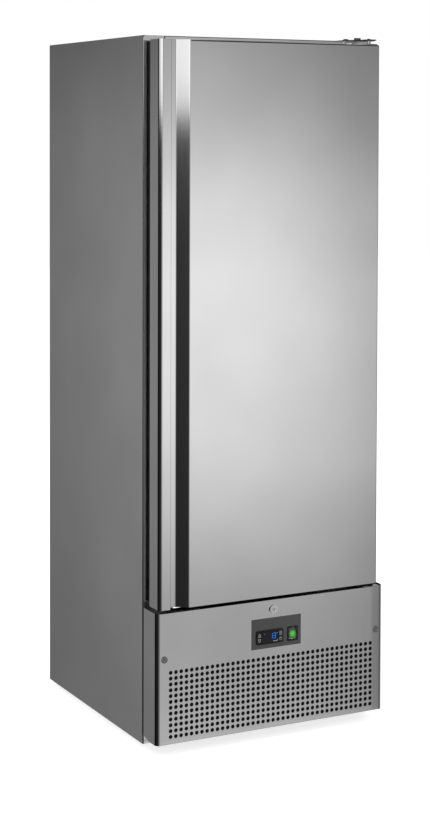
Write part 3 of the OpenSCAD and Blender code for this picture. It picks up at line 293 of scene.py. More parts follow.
def start_piece(name):
    bpy.ops.mesh.primitive_cube_add(size=1, location=(0, 0, 0))
    made = bpy.context.object
    made.name = name
    made.data.name = name
    return made


def fit_box(piece, low, high):
    for corner in piece.data.vertices:
        corner.co = [low[i] if corner.co[i] < 0 else high[i] for i in range(3)]


def only(*pieces):
    bpy.ops.object.select_all(action="DESELECT")
    for piece in pieces:
        piece.select_set(True)
    bpy.context.view_layer.objects.active = pieces[0]


def edit(piece):
    only(piece)
    bpy.ops.object.mode_set(mode="EDIT")
    bpy.ops.mesh.select_all(action="DESELECT")


def select_faces(piece, test):
    bpy.ops.mesh.select_mode(type="FACE")
    shape = bmesh.from_edit_mesh(piece.data)
    for face in shape.faces:
        face.select_set(bool(test(face.calc_center_median(), face.normal)))
    bmesh.update_edit_mesh(piece.data)


def select_edges(piece, test):
    bpy.ops.mesh.select_mode(type="EDGE")
    shape = bmesh.from_edit_mesh(piece.data)
    for face in shape.faces:
        face.select_set(False)
    for edge in shape.edges:
        edge.select_set(bool(test(edge.verts[0].co, edge.verts[1].co)))
    bmesh.update_edit_mesh(piece.data)


def upright_at(place):
    return lambda a, b: abs(a.x - place) < 1e-5 and abs(b.x - place) < 1e-5


def level_at(place):
    return lambda a, b: abs(a.z - place) < 1e-5 and abs(b.z - place) < 1e-5


def face_all(inside=False):
    bpy.ops.mesh.select_all(action="SELECT")
    bpy.ops.mesh.normals_make_consistent(inside=inside)


def done(piece):
    bpy.ops.object.mode_set(mode="OBJECT")
    piece.select_set(False)


def apply(piece, kind, **settings):
    only(piece)
    step = piece.modifiers.new(kind.lower(), kind)
    for key, value in settings.items():
        setattr(step, key, value)
    bpy.ops.object.modifier_apply(modifier=step.name)


def smooth_flats(piece, angle, weight=100):
    only(piece)
    bpy.ops.object.shade_smooth_by_angle(angle=math.radians(angle))
    apply(piece, "WEIGHTED_NORMAL", weight=weight, keep_sharp=True)
    piece.select_set(False)


door_skin = start_piece("door_skin_sheet")
fit_box(door_skin, skin_low, skin_high)
edit(door_skin)
select_faces(door_skin, lambda at, out: abs(out.z) > 0.9 or out.y > 0.9)
bpy.ops.mesh.delete(type="FACE")
for place in (lip_end, floor_start, floor_end, wall_end, wall_end + 0.006):
    bpy.ops.mesh.select_all(action="SELECT")
    bpy.ops.mesh.bisect(plane_co=(place, 0, 0), plane_no=(1, 0, 0))
select_edges(door_skin, lambda a, b: floor_start - 1e-4 < min(a.x, b.x) and max(a.x, b.x) < floor_end + 1e-4)
bpy.ops.transform.translate(value=(0, recess, 0))
for place, bend in ((skin_low[0], left_bend), (skin_high[0], hinge_bend), (lip_end, 0.0012),
                    (wall_end, 0.0022), (floor_start, 0.0024), (floor_end, 0.0020)):
    select_edges(door_skin, lambda a, b: upright_at(place)(a, b) and max(a.y, b.y) < skin_high[1] - 0.01)
    bpy.ops.mesh.bevel(offset=bend, segments=8, offset_type="OFFSET", affect="EDGES", clamp_overlap=True)
for tilt in range(0, 90, 15):
    bpy.ops.mesh.select_all(action="SELECT")
    level = skin_high[2] - fold * (1 - math.sin(math.radians(tilt)))
    bpy.ops.mesh.bisect(plane_co=(0, 0, level), plane_no=(0, 0, 1))
face_all()
done(door_skin)
bend_mid = Vector((skin_high[0] - hinge_bend, skin_low[1] + hinge_bend, 0))
for corner in door_skin.data.vertices:
    height = corner.co.z - (skin_high[2] - fold)
    if height > 0 and corner.co.x > flat_start:
        inward = bend_mid - corner.co
        inward = Vector((min(inward.x, 0), max(inward.y, 0), 0)).normalized()
        corner.co += inward * (fold - math.sqrt(max(fold ** 2 - height ** 2, 0)))
apply(door_skin, "SOLIDIFY", thickness=sheet_thickness, offset=-1)
smooth_flats(door_skin, 35)


def settle(piece, material, body, slot, *nodes):
    piece.data.materials.clear()
    piece.data.materials.append(material)
    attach(piece, body)
    if nodes:
        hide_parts(*nodes)


settle(door_skin, door_steel, "door", "stainless", "door_skin")


# Door ends
# Stainless caps close the folded skin at its top and bottom. They follow its outline into the
# handle recess, and are spot welded, so only their thin edges show.
def round_off(piece, bend, steps, angle, **more):
    apply(piece, "BEVEL", width=bend, segments=steps, limit_method="ANGLE",
          angle_limit=math.radians(angle), **more)


def rounded_copy(source, name, bend, steps=2, angle=30, folds=()):
    made = bpy.data.objects.new(name, node[source].data.copy())
    made.data.name = name
    bpy.context.scene.collection.objects.link(made)
    edit(made)
    bpy.ops.mesh.select_all(action="SELECT")
    bpy.ops.mesh.remove_doubles(threshold=0.000002)
    bpy.ops.mesh.dissolve_limited(angle_limit=math.radians(0.5))
    for test, radius in folds:
        select_edges(made, test)
        bpy.ops.mesh.bevel(offset=radius, segments=8, affect="EDGES")
    done(made)
    round_off(made, bend, steps, angle, miter_outer="MITER_ARC")
    smooth_flats(made, 35)
    return made


door_caps = rounded_copy("door_end_caps", "door_end_sheets", 0.0006)
cap_gap = 0.0002
half_height = 1
for corner in door_caps.data.vertices:
    if corner.co.x > flat_start and half_height < corner.co.z < skin_high[2] + cap_gap:
        corner.co.y = max(corner.co.y, skin_low[1] + fold + cap_gap)
        corner.co.x = min(corner.co.x, skin_high[0] - fold - cap_gap)
settle(door_caps, door_steel, "door", "stainless", "door_end_caps")


# Moulded and coated finishes
# Plastic, rubber and paint all have a faint mottle in colour and gloss, and a fine skin
# texture. One shader group gives both, and each material sets its own scale.
mottle = bpy.data.node_groups.new("fine mottle", "ShaderNodeTree")
socket(mottle, "Grain size", "NodeSocketFloat", "INPUT", 600.0)
socket(mottle, "Grain depth", "NodeSocketFloat", "INPUT", 0.1)
socket(mottle, "Patch size", "NodeSocketFloat", "INPUT", 12.0)
socket(mottle, "Patch", "NodeSocketFloat", "OUTPUT")
socket(mottle, "Grain", "NodeSocketFloat", "OUTPUT")
socket(mottle, "Normal", "NodeSocketVector", "OUTPUT")
mottle_in = mottle.nodes.new("NodeGroupInput")
mottle_out = mottle.nodes.new("NodeGroupOutput")
mottle_place = mottle.nodes.new("ShaderNodeTexCoord")
mottle_grain = mottle.nodes.new("ShaderNodeTexNoise")
mottle_grain.inputs["Detail"].default_value = 3
mottle_patch = mottle.nodes.new("ShaderNodeTexNoise")
mottle_patch.inputs["Detail"].default_value = 4
mottle_bump = mottle.nodes.new("ShaderNodeBump")
mottle_bump.inputs["Distance"].default_value = 0.0003
mottle.links.new(mottle_place.outputs["Object"], mottle_grain.inputs["Vector"])
mottle.links.new(mottle_place.outputs["Object"], mottle_patch.inputs["Vector"])
mottle.links.new(mottle_in.outputs["Grain size"], mottle_grain.inputs["Scale"])
mottle.links.new(mottle_in.outputs["Patch size"], mottle_patch.inputs["Scale"])
mottle.links.new(mottle_in.outputs["Grain depth"], mottle_bump.inputs["Strength"])
mottle.links.new(mottle_grain.outputs["Fac"], mottle_bump.inputs["Height"])
mottle.links.new(mottle_patch.outputs["Fac"], mottle_out.inputs["Patch"])
mottle.links.new(mottle_grain.outputs["Fac"], mottle_out.inputs["Grain"])
mottle.links.new(mottle_bump.outputs[0], mottle_out.inputs["Normal"])


def coated(name, dark, light, smooth, rough, grain_size, depth, patch_size=12.0, metallic=0.0):
    made, tree, skin = new_finish(name)
    skin.inputs["Metallic"].default_value = metallic
    speckle = tree.nodes.new("ShaderNodeGroup")
    speckle.node_tree = mottle
    speckle.inputs["Grain size"].default_value = grain_size
    speckle.inputs["Grain depth"].default_value = depth
    speckle.inputs["Patch size"].default_value = patch_size
    shade = spread(tree, speckle.outputs["Patch"], 0.0, 1.0)
    tree.links.new(blend_colour(tree, shade, dark, light), skin.inputs["Base Color"])
    tree.links.new(spread(tree, speckle.outputs["Grain"], smooth, rough), skin.inputs["Roughness"])
    tree.links.new(speckle.outputs["Normal"], skin.inputs["Normal"])
    return made


# Door insulation and inner skin
# Polyurethane foam fills the door. The inner skin is a white vacuum-formed sheet with a raised
# pan, and its edge holds the seal's dart.
def dress(name, material):
    for slot in node[name].material_slots:
        slot.material = material


foam_fill = coated("polyurethane foam", (0.62, 0.50, 0.26), (0.76, 0.64, 0.38), 0.75, 0.95, 500, 0.6, 40)
dress("door_foam", foam_fill)
white_sheet = coated("white inner skin", (0.70, 0.71, 0.71), (0.76, 0.77, 0.77), 0.28, 0.36, 900, 0.08, 6)
door_pan = rounded_copy("door_liner", "door_inner_skin", 0.0016, 3)
settle(door_pan, white_sheet, "door", "white_liner", "door_liner")

# Door seal
# A dark soft plastic frame: a flat foot on the door, folded bellows, and a magnetic head that
# lies on the cabinet's flanges. Its corners are welded.
seal_low, seal_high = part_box("door_seal")
seal_rubber = coated("seal rubber", (0.018, 0.018, 0.019), (0.030, 0.030, 0.031), 0.42, 0.55, 700, 0.15)


def merge(name, *pieces):
    only(*pieces)
    bpy.ops.object.join()
    pieces[0].name = name
    pieces[0].data.name = name
    pieces[0].select_set(False)
    return pieces[0]


def frame_ring(name, low, high, width, bend):
    ring = start_piece(name)
    fit_box(ring, low, high)
    edit(ring)
    select_faces(ring, lambda at, out: abs(out.y) > 0.9)
    bpy.ops.mesh.inset(thickness=width, use_even_offset=True)
    bpy.ops.mesh.bridge_edge_loops()
    face_all()
    done(ring)
    round_off(ring, bend, 4, 40)
    smooth_flats(ring, 50)
    return ring


folds = []
for number, (start, end, inside, width, bend) in enumerate((
        (0.0000, 0.0026, 0.0000, 0.0160, 0.0008), (0.0022, 0.0062, 0.0035, 0.0090, 0.0018),
        (0.0058, 0.0098, 0.0015, 0.0130, 0.0018), (0.0094, 0.0134, 0.0035, 0.0090, 0.0018),
        (0.0130, 0.0206, 0.0005, 0.0150, 0.0022))):
    folds.append(frame_ring(
        "seal_fold_%d" % number,
        (seal_low[0] + inside, seal_low[1] + start, seal_low[2] + inside),
        (seal_high[0] - inside, seal_low[1] + end, seal_high[2] - inside), width, bend))
seal = merge("seal_bellows", *folds)
settle(seal, seal_rubber, "door", "seal", "door_seal")

# Front cover
# One stainless sheet with 41 by 12 round holes. Its ends are bent back round the compartment,
# its top and bottom edges are folded in, and the lower rear corners are cut away. The flat
# sheet rolls back a little towards its right end.
cover_low, cover_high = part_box("front_cover")
hole_pitch = 0.015
hole_radius = 0.00525
hole_columns = 41
hole_rows = 12
first_column = -(hole_columns - 1) / 2 * hole_pitch
first_row = cover_low[2] + 0.0195
end_bend = 0.0125
fold_end = cover_high[0] - 0.0124
fold_depth = 0.016
fold_bend = 0.0014
bpy.ops.mesh.primitive_circle_add(vertices=16, radius=hole_radius, location=(0, 0, 0),
                                  rotation=(math.pi / 2, 0, 0))
cover = bpy.context.object
cover.name = "perforated_cover"
cover.data.name = "perforated_cover"
bpy.ops.object.transform_apply(location=True, rotation=True, scale=True)
edit(cover)
bpy.ops.mesh.select_mode(type="EDGE")
bpy.ops.mesh.select_all(action="SELECT")
bpy.ops.mesh.extrude_region_move()
cell = bmesh.from_edit_mesh(cover.data)
for corner in cell.verts:
    if corner.select:
        reach = hole_pitch / 2 / max(abs(corner.co.x), abs(corner.co.z))
        corner.co.x *= reach
        corner.co.z *= reach
bmesh.update_edit_mesh(cover.data)
done(cover)
for corner in cover.data.vertices:
    corner.co += Vector((first_column, cover_low[1], first_row))
for count, offset in ((hole_columns, (hole_pitch, 0, 0)), (hole_rows, (0, 0, hole_pitch))):
    apply(cover, "ARRAY", count=count, use_relative_offset=False, use_constant_offset=True,
          constant_offset_displace=offset, use_merge_vertices=True, merge_threshold=0.00002)


def draw_edges(piece, test, move):
    select_edges(piece, test)
    bpy.ops.mesh.extrude_region_move(TRANSFORM_OT_translate={"value": move})


edit(cover)
sheet_end = first_column - hole_pitch / 2
sheet_foot = first_row - hole_pitch / 2
sheet_head = first_row + (hole_rows - 0.5) * hole_pitch
for side in (-1, 1):
    edge_x = side * -sheet_end
    for inset in (0.0180, 0.0155, 0.0130, 0.0):
        reach = side * (cover_high[0] - inset)
        draw_edges(cover, upright_at(edge_x), (reach - edge_x, 0, 0))
        edge_x = reach
for edge_z, end_z in ((sheet_head, cover_high[2]), (sheet_foot, cover_low[2])):
    draw_edges(cover, level_at(edge_z), (0, 0, end_z - edge_z))
for edge_z in (cover_high[2], cover_low[2]):
    draw_edges(cover, lambda a, b: level_at(edge_z)(a, b) and max(abs(a.x), abs(b.x)) < fold_end,
               (0, fold_depth, 0))
for side in (-1, 1):
    draw_edges(cover, upright_at(side * cover_high[0]), (0, cover_high[1] - cover_low[1], 0))
for side in (-1, 1):
    select_edges(cover, lambda a, b: upright_at(side * cover_high[0])(a, b)
                 and max(a.y, b.y) < cover_low[1] + 1e-5)
    bpy.ops.mesh.bevel(offset=end_bend, segments=8, affect="EDGES")
for edge_z in (cover_high[2], cover_low[2]):
    select_edges(cover, lambda a, b: level_at(edge_z)(a, b) and max(a.y, b.y) < cover_low[1] + 1e-5
                 and max(abs(a.x), abs(b.x)) < fold_end)
    bpy.ops.mesh.bevel(offset=fold_bend, segments=3, affect="EDGES")
select_faces(cover, lambda at, out: abs(out.x) > 0.99)
foot_cut = 0.030
foot_rise = 0.0075
bpy.ops.mesh.bisect(plane_co=(0, cover_high[1] - foot_cut, cover_low[2]), plane_no=(0, -foot_rise, foot_cut),
                    clear_inner=True)
face_all()
done(cover)
if cover.data.polygons[0].normal.y > 0:
    cover.data.flip_normals()
roll_start = cover_high[0] - 0.042
roll_rate = 17
for corner in cover.data.vertices:
    if corner.co.x > roll_start and corner.co.y < cover_low[1] + 0.020:
        corner.co.y += roll_rate * (corner.co.x - roll_start) ** 3
apply(cover, "SOLIDIFY", thickness=sheet_thickness, offset=-1)
smooth_flats(cover, 35, 60)
settle(cover, door_steel, "cabinet", "stainless", "front_cover")

# Cover screws
# Two flat steel screws with a washer face hold the cover to folded brackets behind it.
screw_steel = coated("screw steel", (0.20, 0.20, 0.20), (0.30, 0.30, 0.30), 0.30, 0.45, 900, 0.2, 60, 1.0)
turned = {"Y": (math.pi / 2, 0, 0), "Z": (0, 0, 0)}


def drum(name, at, radius, length, way="Y", bend=0.0, sides=48, steps=3):
    bpy.ops.mesh.primitive_cylinder_add(vertices=sides, radius=radius, depth=length, location=at,
                                        rotation=turned[way])
    made = bpy.context.object
    made.name = name
    made.data.name = name
    bpy.ops.object.transform_apply(location=True, rotation=True, scale=True)
    if bend:
        round_off(made, bend, steps, 60)
    smooth_flats(made, 35)
    return made


def cut(piece, *cutters):
    for cutter in cutters:
        apply(piece, "BOOLEAN", operation="DIFFERENCE", solver="EXACT", object=cutter)
        bpy.data.objects.remove(cutter)


def slab(name, low, high, bend=0.0, steps=3, upright=0.0, turns=6):
    made = start_piece(name)
    fit_box(made, low, high)
    if upright:
        edit(made)
        select_edges(made, lambda a, b: abs(a.y - b.y) > 1e-6)
        bpy.ops.mesh.bevel(offset=upright, segments=turns, affect="EDGES")
        done(made)
    if bend:
        round_off(made, bend, steps, 40)
    smooth_flats(made, 35)
    return made


screws_low, screws_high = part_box("cover_screws")
screw_z = (screws_low[2] + screws_high[2]) / 2
screw_face = screws_low[1]
screw_radius = 0.0088
heads = []
for side in (-1, 1):
    screw_x = side * (screws_high[0] - screw_radius)
    ring = drum("screw_ring", (screw_x, screw_face + 0.0008, screw_z), screw_radius, 0.0016, bend=0.0007)
    hollow = drum("screw_hollow", (screw_x, screw_face, screw_z), 0.0066, 0.0010, bend=0.0002)
    cut(ring, hollow)
    head = drum("screw_head", (screw_x, screw_face + 0.0009, screw_z), 0.0058, 0.0016, bend=0.0005)
    cut(head, slab("screw_slot", (screw_x - 0.0040, screw_face - 0.001, screw_z - 0.0006),
                   (screw_x + 0.0040, screw_face + 0.0007, screw_z + 0.0006)))
    shank = drum("screw_shank", (screw_x, screw_face + 0.0081, screw_z), 0.0025, 0.0150, bend=0.0005,
                 sides=24)
    heads += [ring, head, shank]
screws = merge("cover_screw_pair", *heads)
settle(screws, screw_steel, "cabinet", "screw", "cover_screws")

# Air filter
# A washable black filter mat lies behind the perforation; its near-black colour paints the compartment's
# shade in the holes.
filter_low, filter_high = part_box("air_filter")
shade_filter_mat, mat, mat_skin = new_finish("filter mat")
mat_skin.inputs["Roughness"].default_value = 0.95
mat_skin.inputs["Specular IOR Level"].default_value = 0.1
mat_place = mat.nodes.new("ShaderNodeTexCoord")
mat_web = mat.nodes.new("ShaderNodeTexVoronoi")
mat_web.inputs["Scale"].default_value = 700
mat_bump = mat.nodes.new("ShaderNodeBump")
mat_bump.inputs["Strength"].default_value = 0.8
mat_bump.inputs["Distance"].default_value = 0.0006
mat.links.new(mat_place.outputs["Object"], mat_web.inputs["Vector"])
mat.links.new(mat_web.outputs["Distance"], mat_bump.inputs["Height"])
mat.links.new(mat_bump.outputs[0], mat_skin.inputs["Normal"])
# Near-black mat colour: painted shade for the compartment seen through the holes.
mat.links.new(blend_colour(mat, mat_web.outputs["Distance"], (0.004, 0.004, 0.004), (0.012, 0.012, 0.012)),
              mat_skin.inputs["Base Color"])
shade_mat_pad = slab("filter_pad_painted_shade", filter_low, filter_high, 0.0012, 3)
settle(shade_mat_pad, shade_filter_mat, "cabinet", "black_plastic", "air_filter")

# Control plate
# A dark grey satin plate, glued to the cover behind the controller and the switch.
plate_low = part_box("control_plate")[0]
plate_paint = coated("plate lacquer", (0.060, 0.060, 0.062), (0.072, 0.072, 0.074), 0.34, 0.42, 1200, 0.12, 9)
plate = rounded_copy("control_plate", "control_plate_sheet", 0.0003)
settle(plate, plate_paint, "cabinet", "plate_grey", "control_plate")

# Controller
# A panel thermostat: a black moulded case in a cut-out, with a rounded bezel, a dark window
# and two keys on each side of it. Its display shows digits in blue light.
def middle(low, high):
    return (low[0] + high[0]) / 2, (low[2] + high[2]) / 2


def dull(material, level):
    material.node_tree.nodes["Principled BSDF"].inputs["Specular IOR Level"].default_value = level


case_black = coated("controller plastic", (0.007, 0.007, 0.007), (0.011, 0.011, 0.011), 0.34, 0.46, 1500, 0.2)
dull(case_black, 0.3)
case_low, case_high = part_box("controller_body")
window_low, window_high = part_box("display_window")
case_mid, case_z = middle(case_low, case_high)
bezel = start_piece("controller_bezel")
fit_box(bezel, case_low, (case_high[0], plate_low[1], case_high[2]))
edit(bezel)
select_edges(bezel, lambda a, b: abs(a.y - b.y) > 1e-6)
bpy.ops.mesh.bevel(offset=0.0042, segments=8, affect="EDGES")
select_faces(bezel, lambda at, out: out.y < -0.9)
bpy.ops.mesh.inset(thickness=0.0014, use_even_offset=True)
bpy.ops.transform.translate(value=(0, 0.0005, 0))
done(bezel)
round_off(bezel, 0.0004, 3, 40)
smooth_flats(bezel, 40)
window_gap = 0.0002
bay = slab("window_bay", (window_low[0] - window_gap, case_low[1] - 0.001, window_low[2] - window_gap),
           (window_high[0] + window_gap, window_high[1], window_high[2] + window_gap))
cut(bezel, bay)
bezel_lap = 0.0045
case = slab("controller_case", (case_low[0] + bezel_lap, plate_low[1], case_low[2] + bezel_lap),
            (case_high[0] - bezel_lap, case_high[1], case_high[2] - bezel_lap), 0.0008)
controller = merge("controller", bezel, case)
settle(controller, case_black, "cabinet", "control_black", "controller_body")

window_glass = coated("display window", (0.006, 0.006, 0.007), (0.009, 0.009, 0.010), 0.12, 0.20, 300, 0.0)
dull(window_glass, 0.25)
window = rounded_copy("display_window", "display_glass", 0.0004, 3)
settle(window, window_glass, "cabinet", "window", "display_window")

digit_light, glow, glow_skin = new_finish("blue display light")
glow_skin.inputs["Base Color"].default_value = (0.0, 0.004, 0.01, 1)
glow_skin.inputs["Roughness"].default_value = 0.5
glow_skin.inputs["Emission Strength"].default_value = 1.1
dull(digit_light, 0.0)
glow_grain = glow.nodes.new("ShaderNodeGroup")
glow_grain.node_tree = mottle
glow_grain.inputs["Grain size"].default_value = 900
glow_grain.inputs["Grain depth"].default_value = 0.0
glow.links.new(blend_colour(glow, glow_grain.outputs["Grain"], (0.0028, 0.189, 0.70), (0.004, 0.27, 1.0)),
               glow_skin.inputs["Emission Color"])
glyph_face = window_low[1] - 0.0001
glyph_depth = 0.0005
glyph_back = glyph_face + glyph_depth
glyph_mid = glyph_face + glyph_depth / 2
bar_half = 0.0008
figures = []


def lit_bar(x0, z0, x1, z1):
    figures.append(slab("bar", (min(x0, x1) - bar_half, glyph_face, min(z0, z1) - bar_half),
                        (max(x0, x1) + bar_half, glyph_back, max(z0, z1) + bar_half), 0.0004, 2))


one_x = case_mid + 0.0073
three_x = case_mid + 0.0108
three_end = three_x + 0.0054
three_side = three_x + 0.0062
tall = 0.0062
figure_z = case_z + 0.0022
figure_lean = 0.14
for half in (-1, 1):
    lit_bar(one_x, figure_z + half * 0.0010, one_x, figure_z + half * tall)
    lit_bar(three_side, figure_z + half * 0.0010, three_side, figure_z + half * tall)
for level in (-1, 0, 1):
    bar_z = figure_z + level * (tall + 0.0002)
    lit_bar(three_x, bar_z, three_end, bar_z)
degree_at = (three_x + 0.0102, glyph_mid, figure_z + tall)
figures.append(drum("degree", degree_at, 0.0013, glyph_depth, sides=24))
shown = merge("display_digits", *figures)
for corner in shown.data.vertices:
    corner.co.x += (corner.co.z - figure_z) * figure_lean
lamp_at = (case_mid - 0.0155, glyph_mid, case_z + 0.0085)
lamp_dot = drum("display_dot", lamp_at, 0.0011, glyph_depth, sides=24)
shown = merge("display_digits", shown, lamp_dot)
settle(shown, digit_light, "cabinet", "window")

print_white = coated("key print", (0.40, 0.40, 0.39), (0.50, 0.50, 0.49), 0.4, 0.5, 900, 0.0)
mark_low = case_z - 0.0128
mark_bars = []
for x0, z0, x1, z1 in ((0.0095, 0.0, 0.0222, 0.0019), (0.0218, 0.0008, 0.0234, 0.0046)):
    mark_bars.append(slab("mark", (case_mid + x0, glyph_face, mark_low + z0),
                          (case_mid + x1, glyph_back, mark_low + z1), 0.0002, 2))
mark = merge("display_mark", *mark_bars)
settle(mark, print_white, "cabinet", "keys")

# Controller keys
# Four small moulded keys with printed marks: an arrow up, an arrow down, a set mark and a
# power mark. Each one travels half a millimetre.
key_black = coated("key plastic", (0.016, 0.016, 0.017), (0.024, 0.024, 0.025), 0.40, 0.52, 1500, 0.25)
stroke_half = 0.0006
sign_half = 0.0040


def stroke(x, z, half_width, half_height, face):
    return slab("stroke", (x - half_width, face - 0.0001, z - half_height),
                (x + half_width, face + 0.0003, z + half_height))


for name in ("key_up", "key_down", "key_set", "key_power"):
    low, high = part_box(name)
    mid_x, mid_z = middle(low, high)
    pad = slab(name + "_pad", low, high, 0.0004, 3, 0.0012, 4)
    pad.data.materials.append(key_black)
    face = low[1]
    prints = []
    if name in ("key_up", "key_down"):
        way = 1 if name == "key_up" else -1
        for side in (-1, 1):
            prints.append(stroke(mid_x, mid_z, stroke_half, 0.0036, face))
            for corner in prints[-1].data.vertices:
                corner.co.x += side * (0.0019 - way * (corner.co.z - mid_z) * 0.50)
        foot = mid_z - way * 0.0042
        prints.append(stroke(mid_x, foot, sign_half, stroke_half, face))
    elif name == "key_set":
        for level in (mid_z - 0.0038, mid_z, mid_z + 0.0038):
            prints.append(stroke(mid_x, level, sign_half, stroke_half, face))
    else:
        bpy.ops.mesh.primitive_torus_add(location=(mid_x, face + 0.0001, mid_z),
                                         rotation=(math.pi / 2, 0, 0), major_radius=0.0037,
                                         minor_radius=0.00055, major_segments=32, minor_segments=6)
        loop = bpy.context.object
        bpy.ops.object.transform_apply(location=True, rotation=True, scale=True)
        cut(loop, slab("loop_gap", (mid_x - 0.0014, face - 0.001, mid_z + 0.0015),
                       (mid_x + 0.0014, face + 0.001, mid_z + 0.0055)))
        prints.append(loop)
        prints.append(stroke(mid_x, mid_z + 0.00235, 0.0005, 0.00235, face))
    sign = merge("sign", *prints)
    sign.data.materials.clear()
    sign.data.materials.append(print_white)
    key = merge(name + "_cap", pad, sign)
    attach(key, name + "_body")
    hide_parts(name)

# Power switch
# A lit rocker in a black snap-in frame, under a clear splash cap. A lamp glows behind the
# middle of the green lens, so the light falls off towards its edges.
switch_x, switch_z = middle(*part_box("switch_housing"))
lens_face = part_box("switch_rocker")[0][1]
housing = rounded_copy("switch_housing", "switch_frame", 0.0009, 3)
settle(housing, case_black, "cabinet", "control_black", "switch_housing")

lens_green, lens, lens_skin = new_finish("lit green lens")
lens_skin.inputs["Roughness"].default_value = 0.30
dull(lens_green, 0.3)
lens_place = lens.nodes.new("ShaderNodeTexCoord")
lens_gap = lens.nodes.new("ShaderNodeVectorMath")
lens_gap.operation = "DISTANCE"
lens_gap.inputs[1].default_value = (switch_x, lens_face, switch_z)
lens.links.new(lens_place.outputs["Object"], lens_gap.inputs[0])
lens_fall = spread(lens, lens_gap.outputs["Value"], 1.0, 0.0, 0.0005, 0.0112)
lens_grain = lens.nodes.new("ShaderNodeGroup")
lens_grain.node_tree = mottle
lens_grain.inputs["Grain size"].default_value = 260
lens_grain.inputs["Grain depth"].default_value = 0.15
lens.links.new(blend_colour(lens, lens_fall, (0.020, 0.045, 0.020), (0.085, 0.88, 0.035)),
               lens_skin.inputs["Emission Color"])
lens.links.new(blend_colour(lens, lens_grain.outputs["Grain"], (0.008, 0.03, 0.008), (0.012, 0.045, 0.012)),
               lens_skin.inputs["Base Color"])
lens.links.new(lens_grain.outputs["Normal"], lens_skin.inputs["Normal"])
lens_skin.inputs["Emission Strength"].default_value = 1.0
rocker = rounded_copy("switch_rocker", "rocker_lens", 0.0007, 3)
settle(rocker, lens_green, "rocker", "lit_green", "switch_rocker")

clear_plastic, clear, clear_skin = new_finish("clear splash cap")
clear_skin.inputs["Transmission Weight"].default_value = 1.0
clear_skin.inputs["IOR"].default_value = 1.005
clear_place = clear.nodes.new("ShaderNodeTexCoord")
clear_noise = clear.nodes.new("ShaderNodeTexNoise")
clear_noise.inputs["Scale"].default_value = 90
clear.links.new(clear_place.outputs["Object"], clear_noise.inputs["Vector"])
clear.links.new(spread(clear, clear_noise.outputs["Fac"], 0.03, 0.12), clear_skin.inputs["Roughness"])
cap = rounded_copy("switch_cap", "splash_cap", 0.0007, 3)
settle(cap, clear_plastic, "cabinet", "clear_cap", "switch_cap")

# Lock
# A nickel-plated cam lock: a round flange on the cover, a turning plug with its key slot,
# and a black disc set off to the upper left behind the flange, which paints the shade beside it as a small
# dark tongue.
barrel_low, barrel_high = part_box("lock_barrel")
lock_x, lock_z = middle(barrel_low, barrel_high)
lock_radius = (barrel_high[0] - barrel_low[0]) / 2
lock_face = barrel_low[1]
plated = coated("plated brass", (0.62, 0.62, 0.62), (0.68, 0.68, 0.68), 0.40, 0.52, 900, 0.2, 80, 0.2)
flange = drum("lock_flange", (lock_x, (lock_face + cover_low[1]) / 2, lock_z), lock_radius,
              cover_low[1] - lock_face, bend=0.0012, sides=64, steps=4)
neck = drum("lock_neck", (lock_x, (cover_low[1] + barrel_high[1]) / 2 - 0.0005, lock_z),
            lock_radius - 0.0021, barrel_high[1] - cover_low[1] + 0.001, bend=0.0004)
for ring in (flange, neck):
    cut(ring, drum("lock_bore", (lock_x, lock_face, lock_z), 0.00625, 0.2))
flange = merge("lock_flange_barrel", flange, neck)
# Black disc set off to the upper left of the flange: painted shade beside the flange.
washer = drum("lock_shade_disc", (lock_x - 0.0072, cover_low[1] - 0.0003, lock_z + 0.0010),
              lock_radius - 0.0045, 0.0008, bend=0.0002)
cut(washer, drum("shade_disc_bore", (lock_x, cover_low[1], lock_z), lock_radius - 0.002, 0.01))
settle(flange, plated, "cabinet", "nickel", "lock_barrel")
settle(washer, case_black, "cabinet", "control_black")
plug = rounded_copy("lock_plug", "lock_plug_cam", 0.0004, 3)
cut(plug, slab("key_slot", (lock_x - 0.0034, lock_face - 0.002, lock_z - 0.0006),
               (lock_x + 0.0034, lock_face + 0.0035, lock_z + 0.0006)))
settle(plug, plated, "lock", "nickel", "lock_plug")

# Hinges
# Bent steel plates with welded pins carry the door. The top one is bolted to the cabinet's top and
# painted black, and this black also paints the shade under its overhanging arm. Its bright zinc leaf
# turns down in front of the rail. The bottom one is zinc plated, and black bushes in the door run on both
# pins.
hinge_black_and_shade = coated("hinge paint", (0.030, 0.030, 0.032), (0.050, 0.050, 0.052), 0.38, 0.52, 900, 0.25, 30)
zinc_plate = coated("zinc plate", (0.56, 0.56, 0.55), (0.70, 0.70, 0.70), 0.26, 0.42, 700, 0.15, 40, 1.0)
top_hinge = rounded_copy("top_hinge", "top_hinge_plate", 0.0007, 3)
settle(top_hinge, hinge_black_and_shade, "cabinet", "hinge_steel", "top_hinge")
top_hinge.data.materials.append(zinc_plate)
# Faces above the cabinet's top keep the black, which is partly painted shade; the leaf below gets zinc.
plate_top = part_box("side_panel_left")[1][2]
for face in top_hinge.data.polygons:
    if face.center.z < plate_top - 0.0004:
        face.material_index = 1
bottom_hinge = rounded_copy("bottom_hinge", "bottom_hinge_plate", 0.0007, 3)
settle(bottom_hinge, zinc_plate, "cabinet", "zinc", "bottom_hinge")
bush_plastic = coated("bush plastic", (0.020, 0.020, 0.021), (0.032, 0.032, 0.033), 0.35, 0.45, 1200, 0.2)
bushes = rounded_copy("hinge_bushes", "hinge_bush_pair", 0.0006, 3)
settle(bushes, bush_plastic, "door", "black_plastic", "hinge_bushes")

bolts_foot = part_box("hinge_bolts")[0][2]
bolt_steel = coated("blackened bolt steel", (0.055, 0.055, 0.056), (0.10, 0.10, 0.10), 0.32, 0.46, 900,
                    0.3, 90, 0.8)
hinge_axis = 0.306
cabinet_face = -0.26975
bolts = []


